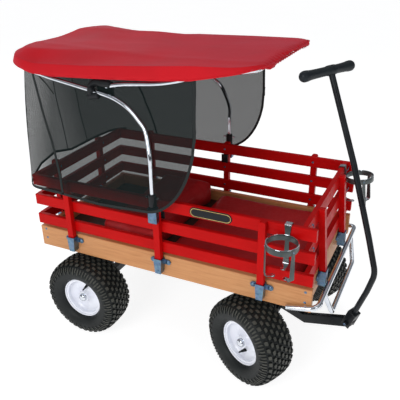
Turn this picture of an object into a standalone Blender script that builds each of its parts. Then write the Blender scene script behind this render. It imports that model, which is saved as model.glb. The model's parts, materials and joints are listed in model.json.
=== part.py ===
"""Garden wagon with a steering pull handle, slatted lift-out racks and a shade canopy.

Metres, +Z up, +X towards the pull handle, +Y to the wagon's left, the ground at z = 0. The stations below
are measured from the middle of the tray, and one empty, wagon_frame, moves them all to the row's origin:
the middle of the wagon's footprint, on the ground.
"""
import bpy
import bmesh
import math
from mathutils import Matrix, Vector

# ---------------------------------------------------------------- driving dimensions
GAP = 0.0003                    # left between touching pieces
ORIGIN_SHIFT = 0.0362           # tray centre to the middle of the whole footprint, along X

FRONT_END = 0.474               # ends of the tray's side boards and of the side rails
REAR_END = -0.480
TRAY_HALF = 0.256               # to the outer face of the side boards
BOARD_THICK = 0.018
BOARD_LOW = 0.300
BOARD_TOP = 0.375
DECK_LOW = 0.318
DECK_TOP = 0.336
FRONT_BOARD_X = 0.460           # outer faces of the end boards
REAR_BOARD_X = -0.476

RACK_FACE = 0.260               # outer face of the side rails
RAIL_THICK = 0.014
RAIL_HEIGHT = 0.037
RAIL_LOWS = (0.3875, 0.459, 0.5305)
POST_STATIONS = (-0.336, -0.005, 0.328)
POST_WIDE = 0.021
POST_THICK = 0.0177
POST_FOOT = 0.320
POST_TOP = 0.570
GATE_POST_Y = 0.128
GATE_LEAN = math.radians(5.2)   # the front gate tips inwards above its brackets

BRACKET_TOP = 0.370
BRACKET_LOW = 0.318
BRACKET_EAR = 0.035             # half of the width over the bolt ears
EAR_MIDDLE = 0.3535
EAR_RADIUS = 0.0085
BRACKET_PLATE = 0.003
POST_OFFSET = 0.004             # board face to the back of a post

WHEEL_RADIUS = 0.142
RIM_RADIUS = 0.073
RIM_HALF = 0.041
TYRE_HALF = 0.062
SHAFT_RADIUS = 0.0082
BORE_RADIUS = 0.0085
WHEEL_Z = WHEEL_RADIUS
REAR_AXLE_X = -0.310
REAR_WHEEL_Y = 0.2515
FRONT_AXLE_X = 0.3181
KINGPIN_Y = 0.1865
WHEEL_OFFSET = 0.066            # kingpin to the middle of a front wheel
STEER = math.radians(-25.0)     # how the front end is turned as modelled
STEER_ARM = 0.060               # kingpin, or tongue pivot, back to the tie rod

TONGUE_DEEP = 0.030
TONGUE_WIDE = 0.020
TONGUE_Z = 0.115
TONGUE_KNEE = 0.105
HANDLE_PIVOT = (0.270, 0.199)   # ahead of the tongue's pivot, above the ground
HANDLE_PATH = ((0.280, 0.230), (0.316, 0.334), (0.334, 0.402), (0.299, 0.503), (0.224, 0.701), (0.120, 0.938))
HANDLE_RADIUS = 0.0085
GRIP_NEAR = 0.120
GRIP_FAR = 0.095
GRIP_RADIUS = 0.0135

TUBE_RADIUS = 0.0065            # canopy bows
BUMPER_RADIUS = 0.008
BOW_LEG_X = -0.004
BOW_LEG_Y = 0.2878
BOW_FOOT_Z = 0.506
SOCKET_LOW = 0.503
SOCKET_TOP = 0.555
BOW_PIVOT = (-0.165, 0.886)
CANOPY_REAR = -0.552
CANOPY_FRONT = 0.300
CANOPY_SPLIT = -0.175
CANOPY_HALF = 0.2545
CANOPY_CORNER = 0.120
CANOPY_THICK = 0.004

CUP_X = 0.396                   # cup holder on the right rack
CUP_GATE_Y = 0.204              # cup holder on the front gate
CUP_OUT = 0.0485                # rail face to the middle of the ring
CUP_RADIUS = 0.045
CUP_RING = (-0.0430, -0.0270)   # ring edges and feet, from the rail's top edge
CUP_FOOT = -0.1255
STRAP = 0.003

TYRE_STEPS = 32                 # facets round a tyre
RIM_STEPS = 20

WAGON = bpy.data.collections.new("wagon")
CUTTERS = bpy.data.collections.new("wagon_cutters")
MATERIALS = {}
PAINTS = {
    "red_paint": ((0.64, 0.008, 0.010), 0.28, 0.0),
    "oak": ((0.74, 0.40, 0.17), 0.45, 0.0),
    "deck_board": ((0.10, 0.07, 0.05), 0.6, 0.0),
    "zinc": ((0.58, 0.64, 0.68), 0.38, 1.0),
    "chrome": ((0.80, 0.82, 0.85), 0.10, 1.0),
    "black_steel": ((0.012, 0.013, 0.016), 0.35, 0.0),
    "grey_steel": ((0.10, 0.12, 0.12), 0.42, 0.8),
    "tyre_rubber": ((0.014, 0.015, 0.015), 0.75, 0.0),
    "rim_white": ((0.86, 0.87, 0.88), 0.30, 0.0),
    "cushion_vinyl": ((0.17, 0.012, 0.018), 0.5, 0.0),
    "canopy_cloth": ((0.45, 0.020, 0.035), 0.8, 0.0),
    "mesh_cloth": ((0.03, 0.04, 0.04), 0.8, 0.0),
    "black_grip": ((0.015, 0.017, 0.020), 0.55, 0.0),
}


# ---------------------------------------------------------------- helpers
def clear_scene():
    for obj in list(bpy.data.objects):
        bpy.data.objects.remove(obj, do_unlink=True)
    bpy.context.scene.collection.children.link(WAGON)
    bpy.context.scene.collection.children.link(CUTTERS)


def paint(name):
    if name not in MATERIALS:
        colour, rough, metallic = PAINTS[name]
        mat = bpy.data.materials.new(name)
        mat.use_nodes = True
        shader = mat.node_tree.nodes["Principled BSDF"]
        shader.inputs["Base Color"].default_value = (*colour, 1.0)
        shader.inputs["Roughness"].default_value = rough
        shader.inputs["Metallic"].default_value = metallic
        MATERIALS[name] = mat
    return MATERIALS[name]


def place(obj, paint_name, at=(0.0, 0.0, 0.0), turn=(0.0, 0.0, 0.0), parent=None):
    """Link a sub-part, give it its paint, and put it in its parent's frame."""
    WAGON.objects.link(obj)
    obj.data.materials.append(paint(paint_name))
    obj.location = at
    obj.rotation_euler = turn
    obj.parent = parent or FRAME
    return obj


def as_cutter(obj, parent=None):
    CUTTERS.objects.link(obj)
    obj.parent = parent or FRAME
    obj.hide_render = True
    obj.display_type = "WIRE"
    return obj


def combine(obj, other, operation):
    mod = obj.modifiers.new(other.name, "BOOLEAN")
    mod.operation = operation
    mod.object = other
    mod.solver = "EXACT"


def soften(obj, width, segments=1):
    mod = obj.modifiers.new("soft_edges", "BEVEL")
    mod.width = width
    mod.segments = segments
    mod.limit_method = "ANGLE"
    mod.angle_limit = math.radians(40)


def box_mesh(name, size, centre=(0.0, 0.0, 0.0)):
    mesh = bpy.data.meshes.new(name)
    bm = bmesh.new()
    bmesh.ops.create_cube(bm, size=1.0, matrix=Matrix.Translation(centre) @ Matrix.Diagonal((*size, 1.0)))
    bm.to_mesh(mesh)
    bm.free()
    return mesh


def board(name, low, high, paint_name, bevel=0.0015):
    """A straight board between two corners, given in the tray's stations."""
    size = [b - a for a, b in zip(low, high)]
    centre = [(a + b) / 2 for a, b in zip(low, high)]
    obj = bpy.data.objects.new(name, box_mesh(name, size))
    place(obj, paint_name, centre)
    soften(obj, bevel)
    return obj


def cylinder_mesh(name, radius, depth, matrix, sides=20):
    mesh = bpy.data.meshes.new(name)
    bm = bmesh.new()
    bmesh.ops.create_cone(bm, cap_ends=True, segments=sides, radius1=radius, radius2=radius, depth=depth,
                          matrix=matrix)
    bm.to_mesh(mesh)
    bm.free()
    return mesh


def plate_curve(name, outline, thickness):
    """A flat outline in local XY, extruded by half its thickness to each side."""
    curve = bpy.data.curves.new(name, "CURVE")
    curve.dimensions = "2D"
    curve.fill_mode = "BOTH"
    curve.extrude = thickness / 2
    spline = curve.splines.new("POLY")
    spline.points.add(len(outline) - 1)
    for point, (x, y) in zip(spline.points, outline):
        point.co = (x, y, 0.0, 1.0)
    spline.use_cyclic_u = True
    return curve


def tube_curve(name, points, radius, resolution=2):
    curve = bpy.data.curves.new(name, "CURVE")
    curve.dimensions = "3D"
    curve.bevel_depth = radius
    curve.bevel_resolution = resolution
    curve.use_fill_caps = True
    spline = curve.splines.new("POLY")
    spline.points.add(len(points) - 1)
    for point, co in zip(spline.points, points):
        point.co = (*co, 1.0)
    return curve


def solid_mesh(name, curve, matrix=None):
    """The closed mesh of a curve: its caps are welded and its transform is baked in."""
    holder = bpy.data.objects.new(name + "_curve", curve)
    bpy.context.scene.collection.objects.link(holder)
    bpy.context.view_layer.update()
    mesh = bpy.data.meshes.new_from_object(holder.evaluated_get(bpy.context.evaluated_depsgraph_get()))
    bm = bmesh.new()
    bm.from_mesh(mesh)
    bmesh.ops.remove_doubles(bm, verts=bm.verts, dist=0.00005)
    bmesh.ops.transform(bm, matrix=matrix or Matrix.Identity(4), verts=bm.verts)
    bmesh.ops.recalc_face_normals(bm, faces=bm.faces)
    bm.to_mesh(mesh)
    bm.free()
    bpy.data.objects.remove(holder, do_unlink=True)
    mesh.name = name
    return mesh


def upright(matrix=None):
    """Stands an outline drawn in XY up in the XZ plane."""
    return (matrix or Matrix.Identity(4)) @ Matrix.Rotation(math.radians(90), 4, "X")


def fillet(points, radius, steps=4):
    """A polyline whose inner corners are rounded by arcs of one radius."""
    points = [Vector(p) for p in points]
    out = [points[0]]
    for before, corner, after in zip(points, points[1:], points[2:]):
        a = (before - corner).normalized()
        b = (after - corner).normalized()
        half = a.angle(b) / 2
        reach = min(radius / math.tan(half), 0.45 * min((before - corner).length, (after - corner).length))
        for i in range(steps + 1):
            t = i / steps
            start = corner + a * reach
            end = corner + b * reach
            out.append(start.lerp(corner, t).lerp(corner.lerp(end, t), t))
    out.append(points[-1])
    return out


def mirrored_path(half):
    """A half path that ends near Y = 0, carried on to the other side."""
    return half + [Vector((p[0], -p[1], p[2])) for p in reversed(half)]


def turned(name, profile, steps, closed=True):
    """A solid of revolution about local Z; its profile runs down the outer side."""
    mesh = bpy.data.meshes.new(name)
    count = len(profile)
    edges = [(i, i + 1) for i in range(count - 1)]
    if closed:
        edges.append((count - 1, 0))
    mesh.from_pydata([(r, 0.0, z) for r, z in profile], edges, [])
    obj = bpy.data.objects.new(name, mesh)
    mod = obj.modifiers.new("turn", "SCREW")
    mod.steps = steps
    mod.render_steps = steps
    mod.use_merge_vertices = True
    mod.merge_threshold = 0.0001
    mod.use_smooth_shade = True
    return obj


def strip(path, thickness):
    """The closed outline of a bent flat strap that follows a path of (x, y) points."""
    left = []
    right = []
    for i, here in enumerate(path):
        ahead = Vector(path[min(i + 1, len(path) - 1)])
        behind = Vector(path[max(i - 1, 0)])
        run = (ahead - behind).normalized()
        side = Vector((-run.y, run.x)) * thickness / 2
        left.append(tuple(Vector(here) + side))
        right.append(tuple(Vector(here) - side))
    return left + right[::-1]


def arc(centre, radius, start, end, steps):
    """Points round an arc, its angles in degrees."""
    angles = [math.radians(start + (end - start) * i / steps) for i in range(steps + 1)]
    return [(centre[0] + radius * math.cos(a), centre[1] + radius * math.sin(a)) for a in angles]


def smoothstep(t):
    t = min(max(t, 0.0), 1.0)
    return t * t * (3 - 2 * t)


def along(table, x):
    """Straight-line interpolation in a short table of (station, value) pairs."""
    if x <= table[0][0]:
        return table[0][1]
    for (x0, y0), (x1, y1) in zip(table, table[1:]):
        if x <= x1:
            return y0 + (y1 - y0) * (x - x0) / (x1 - x0)
    return table[-1][1]


# ---------------------------------------------------------------- tray
def make_tray():
    inner = TRAY_HALF - BOARD_THICK
    for side, sign in (("left", 1), ("right", -1)):
        ys = sorted((sign * inner, sign * TRAY_HALF))
        board(f"side_board_{side}", (REAR_END, ys[0], BOARD_LOW), (FRONT_END, ys[1], BOARD_TOP), "oak")
    reach = inner - GAP
    floor = DECK_TOP + GAP
    front = FRONT_BOARD_X - BOARD_THICK
    rear = REAR_BOARD_X + BOARD_THICK
    board("deck_panel", (rear + GAP, -reach, DECK_LOW), (front - GAP, reach, DECK_TOP), "deck_board")
    board("front_board", (front, -reach, BOARD_LOW), (FRONT_BOARD_X, reach, BOARD_TOP), "oak")
    board("rear_board", (REAR_BOARD_X, -reach, BOARD_LOW), (rear, reach, BOARD_TOP), "oak")
    board("seat_cushion", (-0.262, -0.232, floor), (-0.030, 0.232, 0.450), "cushion_vinyl", 0.014)
    board("floor_mat", (-0.022, -0.236, floor), (0.438, 0.236, 0.386), "cushion_vinyl", 0.010)


def post_outline():
    """Front view of a rack post: rounded top, and a foot that tapers into its bracket."""
    half = POST_WIDE / 2
    foot = half - 0.004
    shoulder = 0.006
    top = arc((half - shoulder, POST_TOP - shoulder), shoulder, 0, 90, 3)
    right = [(foot, POST_FOOT), (half, BRACKET_TOP)] + top
    return right + [(-x, z) for x, z in reversed(right)]


def bracket_mesh():
    """A tapered strap round a post's foot, on a back plate with two bolt ears.

    Local +Y points away from the board, whose face is at y = 0.
    """
    post_front = POST_OFFSET + GAP + POST_THICK + GAP
    outer_y = post_front + BRACKET_PLATE
    clear = POST_WIDE / 2 + GAP

    def channel(extra, low, top, y_from, y_to, name):
        top_half = clear + extra
        foot_half = clear - 0.004 + extra
        outline = [(-foot_half, low), (foot_half, low), (top_half, top), (-top_half, top)]
        curve = plate_curve(name, outline, y_to - y_from)
        return solid_mesh(name, curve, Matrix.Translation((0, (y_from + y_to) / 2, 0)) @ upright())

    ears = arc((BRACKET_EAR - EAR_RADIUS, EAR_MIDDLE), EAR_RADIUS, -90, 90, 5)
    ears += arc((EAR_RADIUS - BRACKET_EAR, EAR_MIDDLE), EAR_RADIUS, 90, 270, 5)
    back = plate_curve("bracket", ears, BRACKET_PLATE)
    back_y = GAP + BRACKET_PLATE / 2
    base = bpy.data.objects.new("bracket_back",
                                solid_mesh("bracket_back", back, Matrix.Translation((0, back_y, 0)) @ upright()))
    as_cutter(base)
    strap = channel(0.003, BRACKET_LOW, BRACKET_TOP - 0.0005, GAP + 0.001, outer_y, "bracket_strap")
    pocket = channel(0.0, BRACKET_LOW - 0.001, BRACKET_TOP + 0.002, GAP + BRACKET_PLATE, post_front, "bracket_pocket")
    combine(base, as_cutter(bpy.data.objects.new("bracket_strap", strap)), "UNION")
    combine(base, as_cutter(bpy.data.objects.new("bracket_pocket", pocket)), "DIFFERENCE")
    bpy.context.view_layer.update()
    mesh = bpy.data.meshes.new_from_object(base.evaluated_get(bpy.context.evaluated_depsgraph_get()))
    mesh.name = "stake_bracket"
    for name in ("bracket_back", "bracket_strap", "bracket_pocket"):
        bpy.data.objects.remove(bpy.data.objects[name], do_unlink=True)
    return mesh


def make_brackets():
    """Ten stake pockets: three on each side board and two on each end board."""
    mesh = bracket_mesh()
    places = []
    for side, sign, turn in (("left", 1, 0), ("right", -1, 180)):
        for spot, x in zip(("rear", "middle", "front"), POST_STATIONS):
            places.append((f"bracket_{side}_{spot}", (x, sign * TRAY_HALF, 0), turn))
    for end, x, turn in (("front", FRONT_BOARD_X, -90), ("rear", REAR_BOARD_X, 90)):
        for side, sign in (("left", 1), ("right", -1)):
            places.append((f"bracket_{end}_gate_{side}", (x, sign * GATE_POST_Y, 0), turn))
    for name, at, turn in places:
        place(bpy.data.objects.new(name, mesh.copy()), "zinc", at, (0, 0, math.radians(turn)))


# ---------------------------------------------------------------- racks and gates
def make_side_racks():
    for side, sign in (("left", 1), ("right", -1)):
        ys = sorted((sign * (RACK_FACE - RAIL_THICK), sign * RACK_FACE))
        for level, low in zip(("lower", "middle", "upper"), RAIL_LOWS):
            board(f"{side}_rail_{level}", (REAR_END, ys[0], low), (FRONT_END, ys[1], low + RAIL_HEIGHT), "red_paint")
        post_y = sign * (RACK_FACE + GAP + POST_THICK / 2)
        for spot, x in zip(("rear", "middle", "front"), POST_STATIONS):
            post = bpy.data.objects.new(f"{side}_post_{spot}", plate_curve("post", post_outline(), POST_THICK))
            place(post, "red_paint", (x, post_y, 0), (math.radians(90), 0, 0))
            weld = post.modifiers.new("weld", "WELD")
            weld.merge_threshold = 0.0001
            soften(post, 0.0015)


def lean_over(mesh, angle):
    """Tips everything above the brackets' top edge inwards, the way the post was steamed."""
    for vert in mesh.vertices:
        vert.co.x -= max(vert.co.z - BRACKET_TOP, 0.0) * math.tan(angle)
    return mesh


def make_gate(name, face, outward, lean):
    """Three slats glued and screwed to two posts, one rigid panel that lifts out."""
    slat_x = face - outward * RAIL_THICK / 2
    post_x = face + outward * POST_THICK / 2
    size = (RAIL_THICK, 2 * (RACK_FACE - RAIL_THICK - GAP), RAIL_HEIGHT)
    slats = [lean_over(box_mesh(name, size, (slat_x, 0, low + RAIL_HEIGHT / 2)), lean) for low in RAIL_LOWS]
    base = place(bpy.data.objects.new(name, slats[0]), "red_paint")
    for index, slat in enumerate(slats[1:]):
        combine(base, as_cutter(bpy.data.objects.new(f"{name}_slat_{index}", slat)), "UNION")
    for side, sign in (("left", 1), ("right", -1)):
        curve = plate_curve("gate_post", post_outline(), POST_THICK + 2 * GAP)
        matrix = Matrix.Translation((post_x, sign * GATE_POST_Y, 0)) @ Matrix.Rotation(math.radians(90), 4, "Z")
        mesh = lean_over(solid_mesh("gate_post", curve, upright(matrix)), lean)
        combine(base, as_cutter(bpy.data.objects.new(f"{name}_post_{side}", mesh)), "UNION")
    soften(base, 0.0012)


# ---------------------------------------------------------------- undercarriage, wheels and steering
def make_frame_rails():
    """Two long bars under the deck, joined above each axle."""
    top = DECK_LOW - GAP
    bar = 0.025
    y = 0.140
    base = bpy.data.objects.new("undercarriage_frame", box_mesh("bar", (0.86, bar, bar), (0, y, top - bar / 2)))
    place(base, "black_steel")
    other = bpy.data.objects.new("frame_bar", box_mesh("bar", (0.86, bar, bar), (0, -y, top - bar / 2)))
    combine(base, as_cutter(other), "UNION")
    for name, x in (("frame_cross_front", FRONT_AXLE_X), ("frame_cross_rear", REAR_AXLE_X)):
        cross = box_mesh(name, (0.050, 2 * y, bar - 0.002), (x, 0, top - bar / 2))
        combine(base, as_cutter(bpy.data.objects.new(name, cross)), "UNION")
    return top - bar + 0.001 - GAP


def add_struts(base, x, low, top):
    for side, sign in (("left", 1), ("right", -1)):
        strut = box_mesh("strut", (0.025, 0.012, top - low), (x, sign * 0.115, (top + low) / 2))
        combine(base, as_cutter(bpy.data.objects.new(f"{base.name}_strut_{side}", strut)), "UNION")


def make_rear_axle(top):
    base = bpy.data.objects.new("rear_axle", box_mesh("rear_axle", (0.025, 0.370, 0.025)))
    place(base, "black_steel", (REAR_AXLE_X, 0, WHEEL_Z))
    shaft_length = 2 * (REAR_WHEEL_Y + 0.036)
    turn = Matrix.Translation((REAR_AXLE_X, 0, WHEEL_Z)) @ Matrix.Rotation(math.radians(90), 4, "X")
    shaft = cylinder_mesh("rear_shaft", SHAFT_RADIUS, shaft_length, turn)
    combine(base, as_cutter(bpy.data.objects.new("rear_shaft", shaft)), "UNION")
    add_struts(base, REAR_AXLE_X, WHEEL_Z, top)


def make_front_axle(top):
    """A beam with a yoke at each end that holds the kingpin of a knuckle."""
    mid = 0.145
    back_y = KINGPIN_Y - 0.026
    base = bpy.data.objects.new("front_axle", box_mesh("front_axle", (0.025, 2 * back_y, 0.025)))
    place(base, "black_steel", (FRONT_AXLE_X, 0, mid))
    add_struts(base, FRONT_AXLE_X, mid, top)
    ear = (0.020, 0.040, 0.010)
    ear_y = KINGPIN_Y - 0.011
    for side, sign in (("left", 1), ("right", -1)):
        pieces = {
            "back": ((0.020, 0.010, 0.081), (FRONT_AXLE_X, sign * back_y, WHEEL_Z)),
            "upper": (ear, (FRONT_AXLE_X, sign * ear_y, WHEEL_Z + 0.0355)),
            "lower": (ear, (FRONT_AXLE_X, sign * ear_y, WHEEL_Z - 0.0355)),
        }
        for part, (size, centre) in pieces.items():
            yoke = box_mesh("yoke", size, centre)
            combine(base, as_cutter(bpy.data.objects.new(f"yoke_{part}_{side}", yoke)), "UNION")


def tyre_profile():
    """Tread crown, shoulders, bulging sidewalls and beads, closed round the inside."""
    half = [(WHEEL_RADIUS, 0.034), (0.137, 0.048), (0.125, 0.060), (0.112, TYRE_HALF), (0.095, 0.0595),
            (0.080, 0.049), (RIM_RADIUS + 0.0006, 0.0372), (RIM_RADIUS - 0.0092, 0.0365)]
    upper = [(r, z) for r, z in reversed(half)]
    lower = [(r, -z) for r, z in half]
    return upper + lower


def rim_profile():
    """Flanges, drop centre, dished disc on the outer side, and a hub with its bore."""
    seat = RIM_RADIUS - 0.010
    lip = 0.003
    return [
        (RIM_RADIUS, RIM_HALF), (RIM_RADIUS, RIM_HALF - lip), (seat, RIM_HALF - lip - 0.001),
        (seat, lip + 0.001 - RIM_HALF), (RIM_RADIUS, lip - RIM_HALF), (RIM_RADIUS, -RIM_HALF),
        (seat - lip, -RIM_HALF), (seat - lip, 0.012), (0.046, 0.004), (0.019, 0.010), (0.019, -0.035),
        (BORE_RADIUS, -0.035), (BORE_RADIUS, 0.034), (0.019, 0.034), (0.019, 0.026), (0.030, 0.018),
        (0.046, 0.010), (0.056, 0.018), (seat - lip, RIM_HALF),
    ]


def make_wheel(spot, parent, at, outward, yaw=0.0):
    """Tyre and rim share an origin on the wheel's axis; local +Z points away from the wagon."""
    turn = (math.radians(-90) * outward, 0, yaw)
    place(turned(f"tyre_{spot}", tyre_profile(), TYRE_STEPS), "tyre_rubber", at, turn, parent)
    place(turned(f"rim_{spot}", rim_profile(), RIM_STEPS), "rim_white", at, turn, parent)


def make_knuckle(side, sign):
    """Kingpin barrel, spindle and steering arm in one, with its origin on the kingpin."""
    name = f"knuckle_{side}"
    pin = bpy.data.objects.new(f"kingpin_{side}", None)
    WAGON.objects.link(pin)
    pin.parent = FRAME
    pin.location = (FRONT_AXLE_X, sign * KINGPIN_Y, 0)
    pin.rotation_euler = (0, 0, STEER)
    barrel = cylinder_mesh(name, 0.011, 0.060, Matrix.Translation((0, 0, WHEEL_Z)), 20)
    base = place(bpy.data.objects.new(name, barrel), "black_steel", parent=pin)
    length = WHEEL_OFFSET + 0.036
    turn = Matrix.Translation((0, sign * length / 2, WHEEL_Z)) @ Matrix.Rotation(math.radians(90), 4, "X")
    spindle = bpy.data.objects.new(f"{name}_spindle", cylinder_mesh("spindle", SHAFT_RADIUS, length, turn))
    combine(base, as_cutter(spindle, pin), "UNION")
    outline = [(0.0, 0.006), (-STEER_ARM, 0.006)] + arc((-STEER_ARM, 0), 0.008, 120, 240, 5)
    outline += [(-STEER_ARM, -0.006), (0.0, -0.006)]
    arm_mesh = solid_mesh("arm", plate_curve("arm", outline, 0.011), Matrix.Translation((0, 0, 0.1265)))
    combine(base, as_cutter(bpy.data.objects.new(f"{name}_arm", arm_mesh), pin), "UNION")
    return pin


def make_steering():
    """Knuckles, tie rod and tongue turn together like a car's front end."""
    for side, sign in (("left", 1), ("right", -1)):
        pin = make_knuckle(side, sign)
        make_wheel(f"front_{side}", pin, (0, sign * WHEEL_OFFSET, WHEEL_Z), sign)
    x = FRONT_AXLE_X - STEER_ARM * math.cos(STEER)
    y = -STEER_ARM * math.sin(STEER)
    rod_z = 0.1395
    rod = tube_curve("tie_rod", [(0, -KINGPIN_Y, 0), (0, KINGPIN_Y, 0)], 0.006)
    base = bpy.data.objects.new("tie_rod", solid_mesh("tie_rod", rod))
    place(base, "black_steel", (x, y, rod_z))
    for index, along_rod in enumerate((-KINGPIN_Y, 0, KINGPIN_Y)):
        eye = cylinder_mesh("eye", 0.009, 0.011, Matrix.Translation((x, y + along_rod, rod_z)), 16)
        combine(base, as_cutter(bpy.data.objects.new(f"tie_rod_eye_{index}", eye)), "UNION")


def make_tongue():
    """A bar that runs level under the front axle and then rises to the handle's hinge pin."""
    half = TONGUE_DEEP / 2
    px, pz = HANDLE_PIVOT
    rise = math.atan2(pz - TONGUE_Z, px - TONGUE_KNEE)
    lift = math.degrees(rise)
    knee = half * math.tan(rise / 2)
    outline = arc((-STEER_ARM, TONGUE_Z), half, 90, 270, 8)
    outline += [(TONGUE_KNEE + knee, TONGUE_Z - half)]
    outline += arc((px, pz), half, lift - 90, lift + 90, 8)
    outline += [(TONGUE_KNEE - knee, TONGUE_Z + half)]
    pivot = bpy.data.objects.new("tongue_pivot", None)
    WAGON.objects.link(pivot)
    pivot.parent = FRAME
    pivot.location = (FRONT_AXLE_X, 0, 0)
    pivot.rotation_euler = (0, 0, STEER)
    tongue = bpy.data.objects.new("tongue", plate_curve("tongue", outline, TONGUE_WIDE))
    place(tongue, "black_steel", turn=(math.radians(90), 0, 0), parent=pivot)
    weld = tongue.modifiers.new("weld", "WELD")
    weld.merge_threshold = 0.0001
    soften(tongue, 0.002, 2)
    return pivot


def make_handle(tongue_pivot):
    """Bent tube on a yoke that straddles the tongue, with the T grip across its top."""
    px, pz = HANDLE_PIVOT
    hinge = bpy.data.objects.new("handle_hinge", None)
    WAGON.objects.link(hinge)
    hinge.parent = tongue_pivot
    hinge.location = (px, 0, pz)
    path = [Vector((x - px, 0, z - pz)) for x, z in HANDLE_PATH]
    lean = (path[1] - path[0]).normalized()
    tilt = math.atan2(lean.x, lean.z)
    cheek = TONGUE_WIDE / 2 + 0.0006
    yoke_wide = 2 * (cheek + 0.005)
    stand = Matrix.Rotation(tilt, 4, "Y")
    yoke_mesh = box_mesh("pull_handle", (0.028, yoke_wide, 0.060), (0, 0, 0.016))
    yoke_mesh.transform(stand)
    yoke = place(bpy.data.objects.new("pull_handle", yoke_mesh), "black_steel", parent=hinge)
    slot_mesh = box_mesh("slot", (0.060, 2 * cheek, 0.044), (0, 0, -0.004))
    slot_mesh.transform(stand)
    combine(yoke, as_cutter(bpy.data.objects.new("yoke_slot", slot_mesh), hinge), "DIFFERENCE")
    grip_centre = path[-1].copy()
    final = (path[-1] - path[-2]).normalized()
    path[0] = lean * 0.030
    path[-1] = grip_centre - final * (GRIP_RADIUS + 0.0008)
    bend = fillet(path, 0.075, 6)
    tube = bpy.data.objects.new("handle_tube", solid_mesh("handle_tube", tube_curve("tube", bend, HANDLE_RADIUS)))
    combine(yoke, as_cutter(tube, hinge), "UNION")
    end = GRIP_RADIUS + 0.0015
    far = [(0.0, GRIP_FAR)] + [(end * math.sin(a), GRIP_FAR - end + end * math.cos(a))
                               for a in (math.radians(d) for d in (30, 60, 90))]
    near = [(r, -(z + GRIP_NEAR - GRIP_FAR)) for r, z in reversed(far)]
    profile = far + [(GRIP_RADIUS, 0.045), (GRIP_RADIUS, -0.045)] + near
    grip = turned("t_grip", profile, 20, closed=False)
    place(grip, "black_grip", grip_centre, (math.radians(-90), 0, 0), hinge)


# ---------------------------------------------------------------- bumper, cup holders
def make_bumper():
    """A bent tube round the tray's front with a second, lower loop welded under it."""
    corner = Vector((0.4945, 0.2648, 0.326))
    half = [Vector((0.404, corner.y, 0.3065)), corner, Vector((corner.x, 0.205, corner.z))]
    path = fillet(mirrored_path(half), 0.030)
    base = bpy.data.objects.new("bumper", solid_mesh("bumper", tube_curve("bumper", path, BUMPER_RADIUS)))
    place(base, "chrome")
    lower = [Vector((corner.x, 0.185, corner.z)), Vector((0.515, 0.150, 0.243))]
    loop = fillet(mirrored_path(lower), 0.018, 4)
    mesh = solid_mesh("bumper_loop", tube_curve("bumper_loop", loop, BUMPER_RADIUS))
    combine(base, as_cutter(bpy.data.objects.new("bumper_loop", mesh)), "UNION")


def make_cup_holder(spot, at, turn):
    """A flat ring with three J straps, hung over a top rail by a hook strap.

    Its frame sits level with the rail's top edge, over the ring's middle, local +X towards the rail.
    """
    name = f"cup_holder_{spot}"
    hanger = bpy.data.objects.new(f"cup_hanger_{spot}", None)
    WAGON.objects.link(hanger)
    hanger.parent = FRAME
    hanger.location = at
    hanger.rotation_euler = turn
    low, top = CUP_RING
    inner = CUP_RADIUS - STRAP
    ring = turned(name, [(CUP_RADIUS, top), (CUP_RADIUS, low), (inner, low), (inner, top)], 24)
    place(ring, "grey_steel", parent=hanger)
    face = CUP_RADIUS + 0.001
    over = 0.0012 + STRAP / 2
    inside = CUP_OUT + RAIL_THICK + over
    hook = [(face, low), (face, over - 0.003), (face + 0.003, over), (inside - 0.003, over),
            (inside, over - 0.003), (inside, over - 0.026)]
    pieces = [(hook, 0.018, 0.0)]
    for angle, out, foot in ((0.0, face, CUP_FOOT + 0.006), (118.0, CUP_RADIUS - 0.0005, CUP_FOOT),
                             (-122.0, CUP_RADIUS - 0.0005, CUP_FOOT)):
        leg = [(out, top - 0.002), (out, foot + 0.008), (out - 0.003, foot + 0.002), (out - 0.008, foot)]
        leg += [(out - 0.020, foot - 0.002)]
        pieces.append((leg, 0.014 if angle else 0.016, angle))
    for index, (path, width, angle) in enumerate(pieces):
        spin = upright(Matrix.Rotation(math.radians(angle), 4, "Z"))
        mesh = solid_mesh("strap", plate_curve("strap", strip(path, STRAP), width), spin)
        combine(ring, as_cutter(bpy.data.objects.new(f"{name}_strap_{index}", mesh), hanger), "UNION")


def make_cup_holders():
    """One hangs on the right rack's top rail, the other on the leaning front gate."""
    rail_top = RAIL_LOWS[2] + RAIL_HEIGHT
    make_cup_holder("right", (CUP_X, -RACK_FACE - CUP_OUT, rail_top), (0, 0, math.radians(90)))
    face = FRONT_BOARD_X + POST_OFFSET - (rail_top - BRACKET_TOP) * math.tan(GATE_LEAN)
    lift = (CUP_OUT + RAIL_THICK) * math.sin(GATE_LEAN)
    at = (face + CUP_OUT * math.cos(GATE_LEAN), CUP_GATE_Y, rail_top + lift)
    make_cup_holder("front", at, (0, GATE_LEAN, math.radians(180)))


# ---------------------------------------------------------------- canopy
def make_sockets():
    """A sleeve on the outside of each middle post, open at both ends for the bow's leg."""
    for side, sign in (("left", 1), ("right", -1)):
        low_y = RACK_FACE + 2 * GAP + POST_THICK
        high_y = BOW_LEG_Y + 0.0105
        size = (0.029, high_y - low_y, SOCKET_TOP - SOCKET_LOW)
        name = f"canopy_socket_{side}"
        base = bpy.data.objects.new(name, box_mesh(name, size))
        at = (BOW_LEG_X, sign * (low_y + high_y) / 2, (SOCKET_TOP + SOCKET_LOW) / 2)
        place(base, "zinc", at)
        soften(base, 0.002)
        bore = 2 * TUBE_RADIUS + 0.003
        hole = box_mesh("bore", (bore, bore, 0.08), (BOW_LEG_X, sign * BOW_LEG_Y, at[2]))
        combine(base, as_cutter(bpy.data.objects.new(f"{name}_bore", hole)), "DIFFERENCE")


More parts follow.
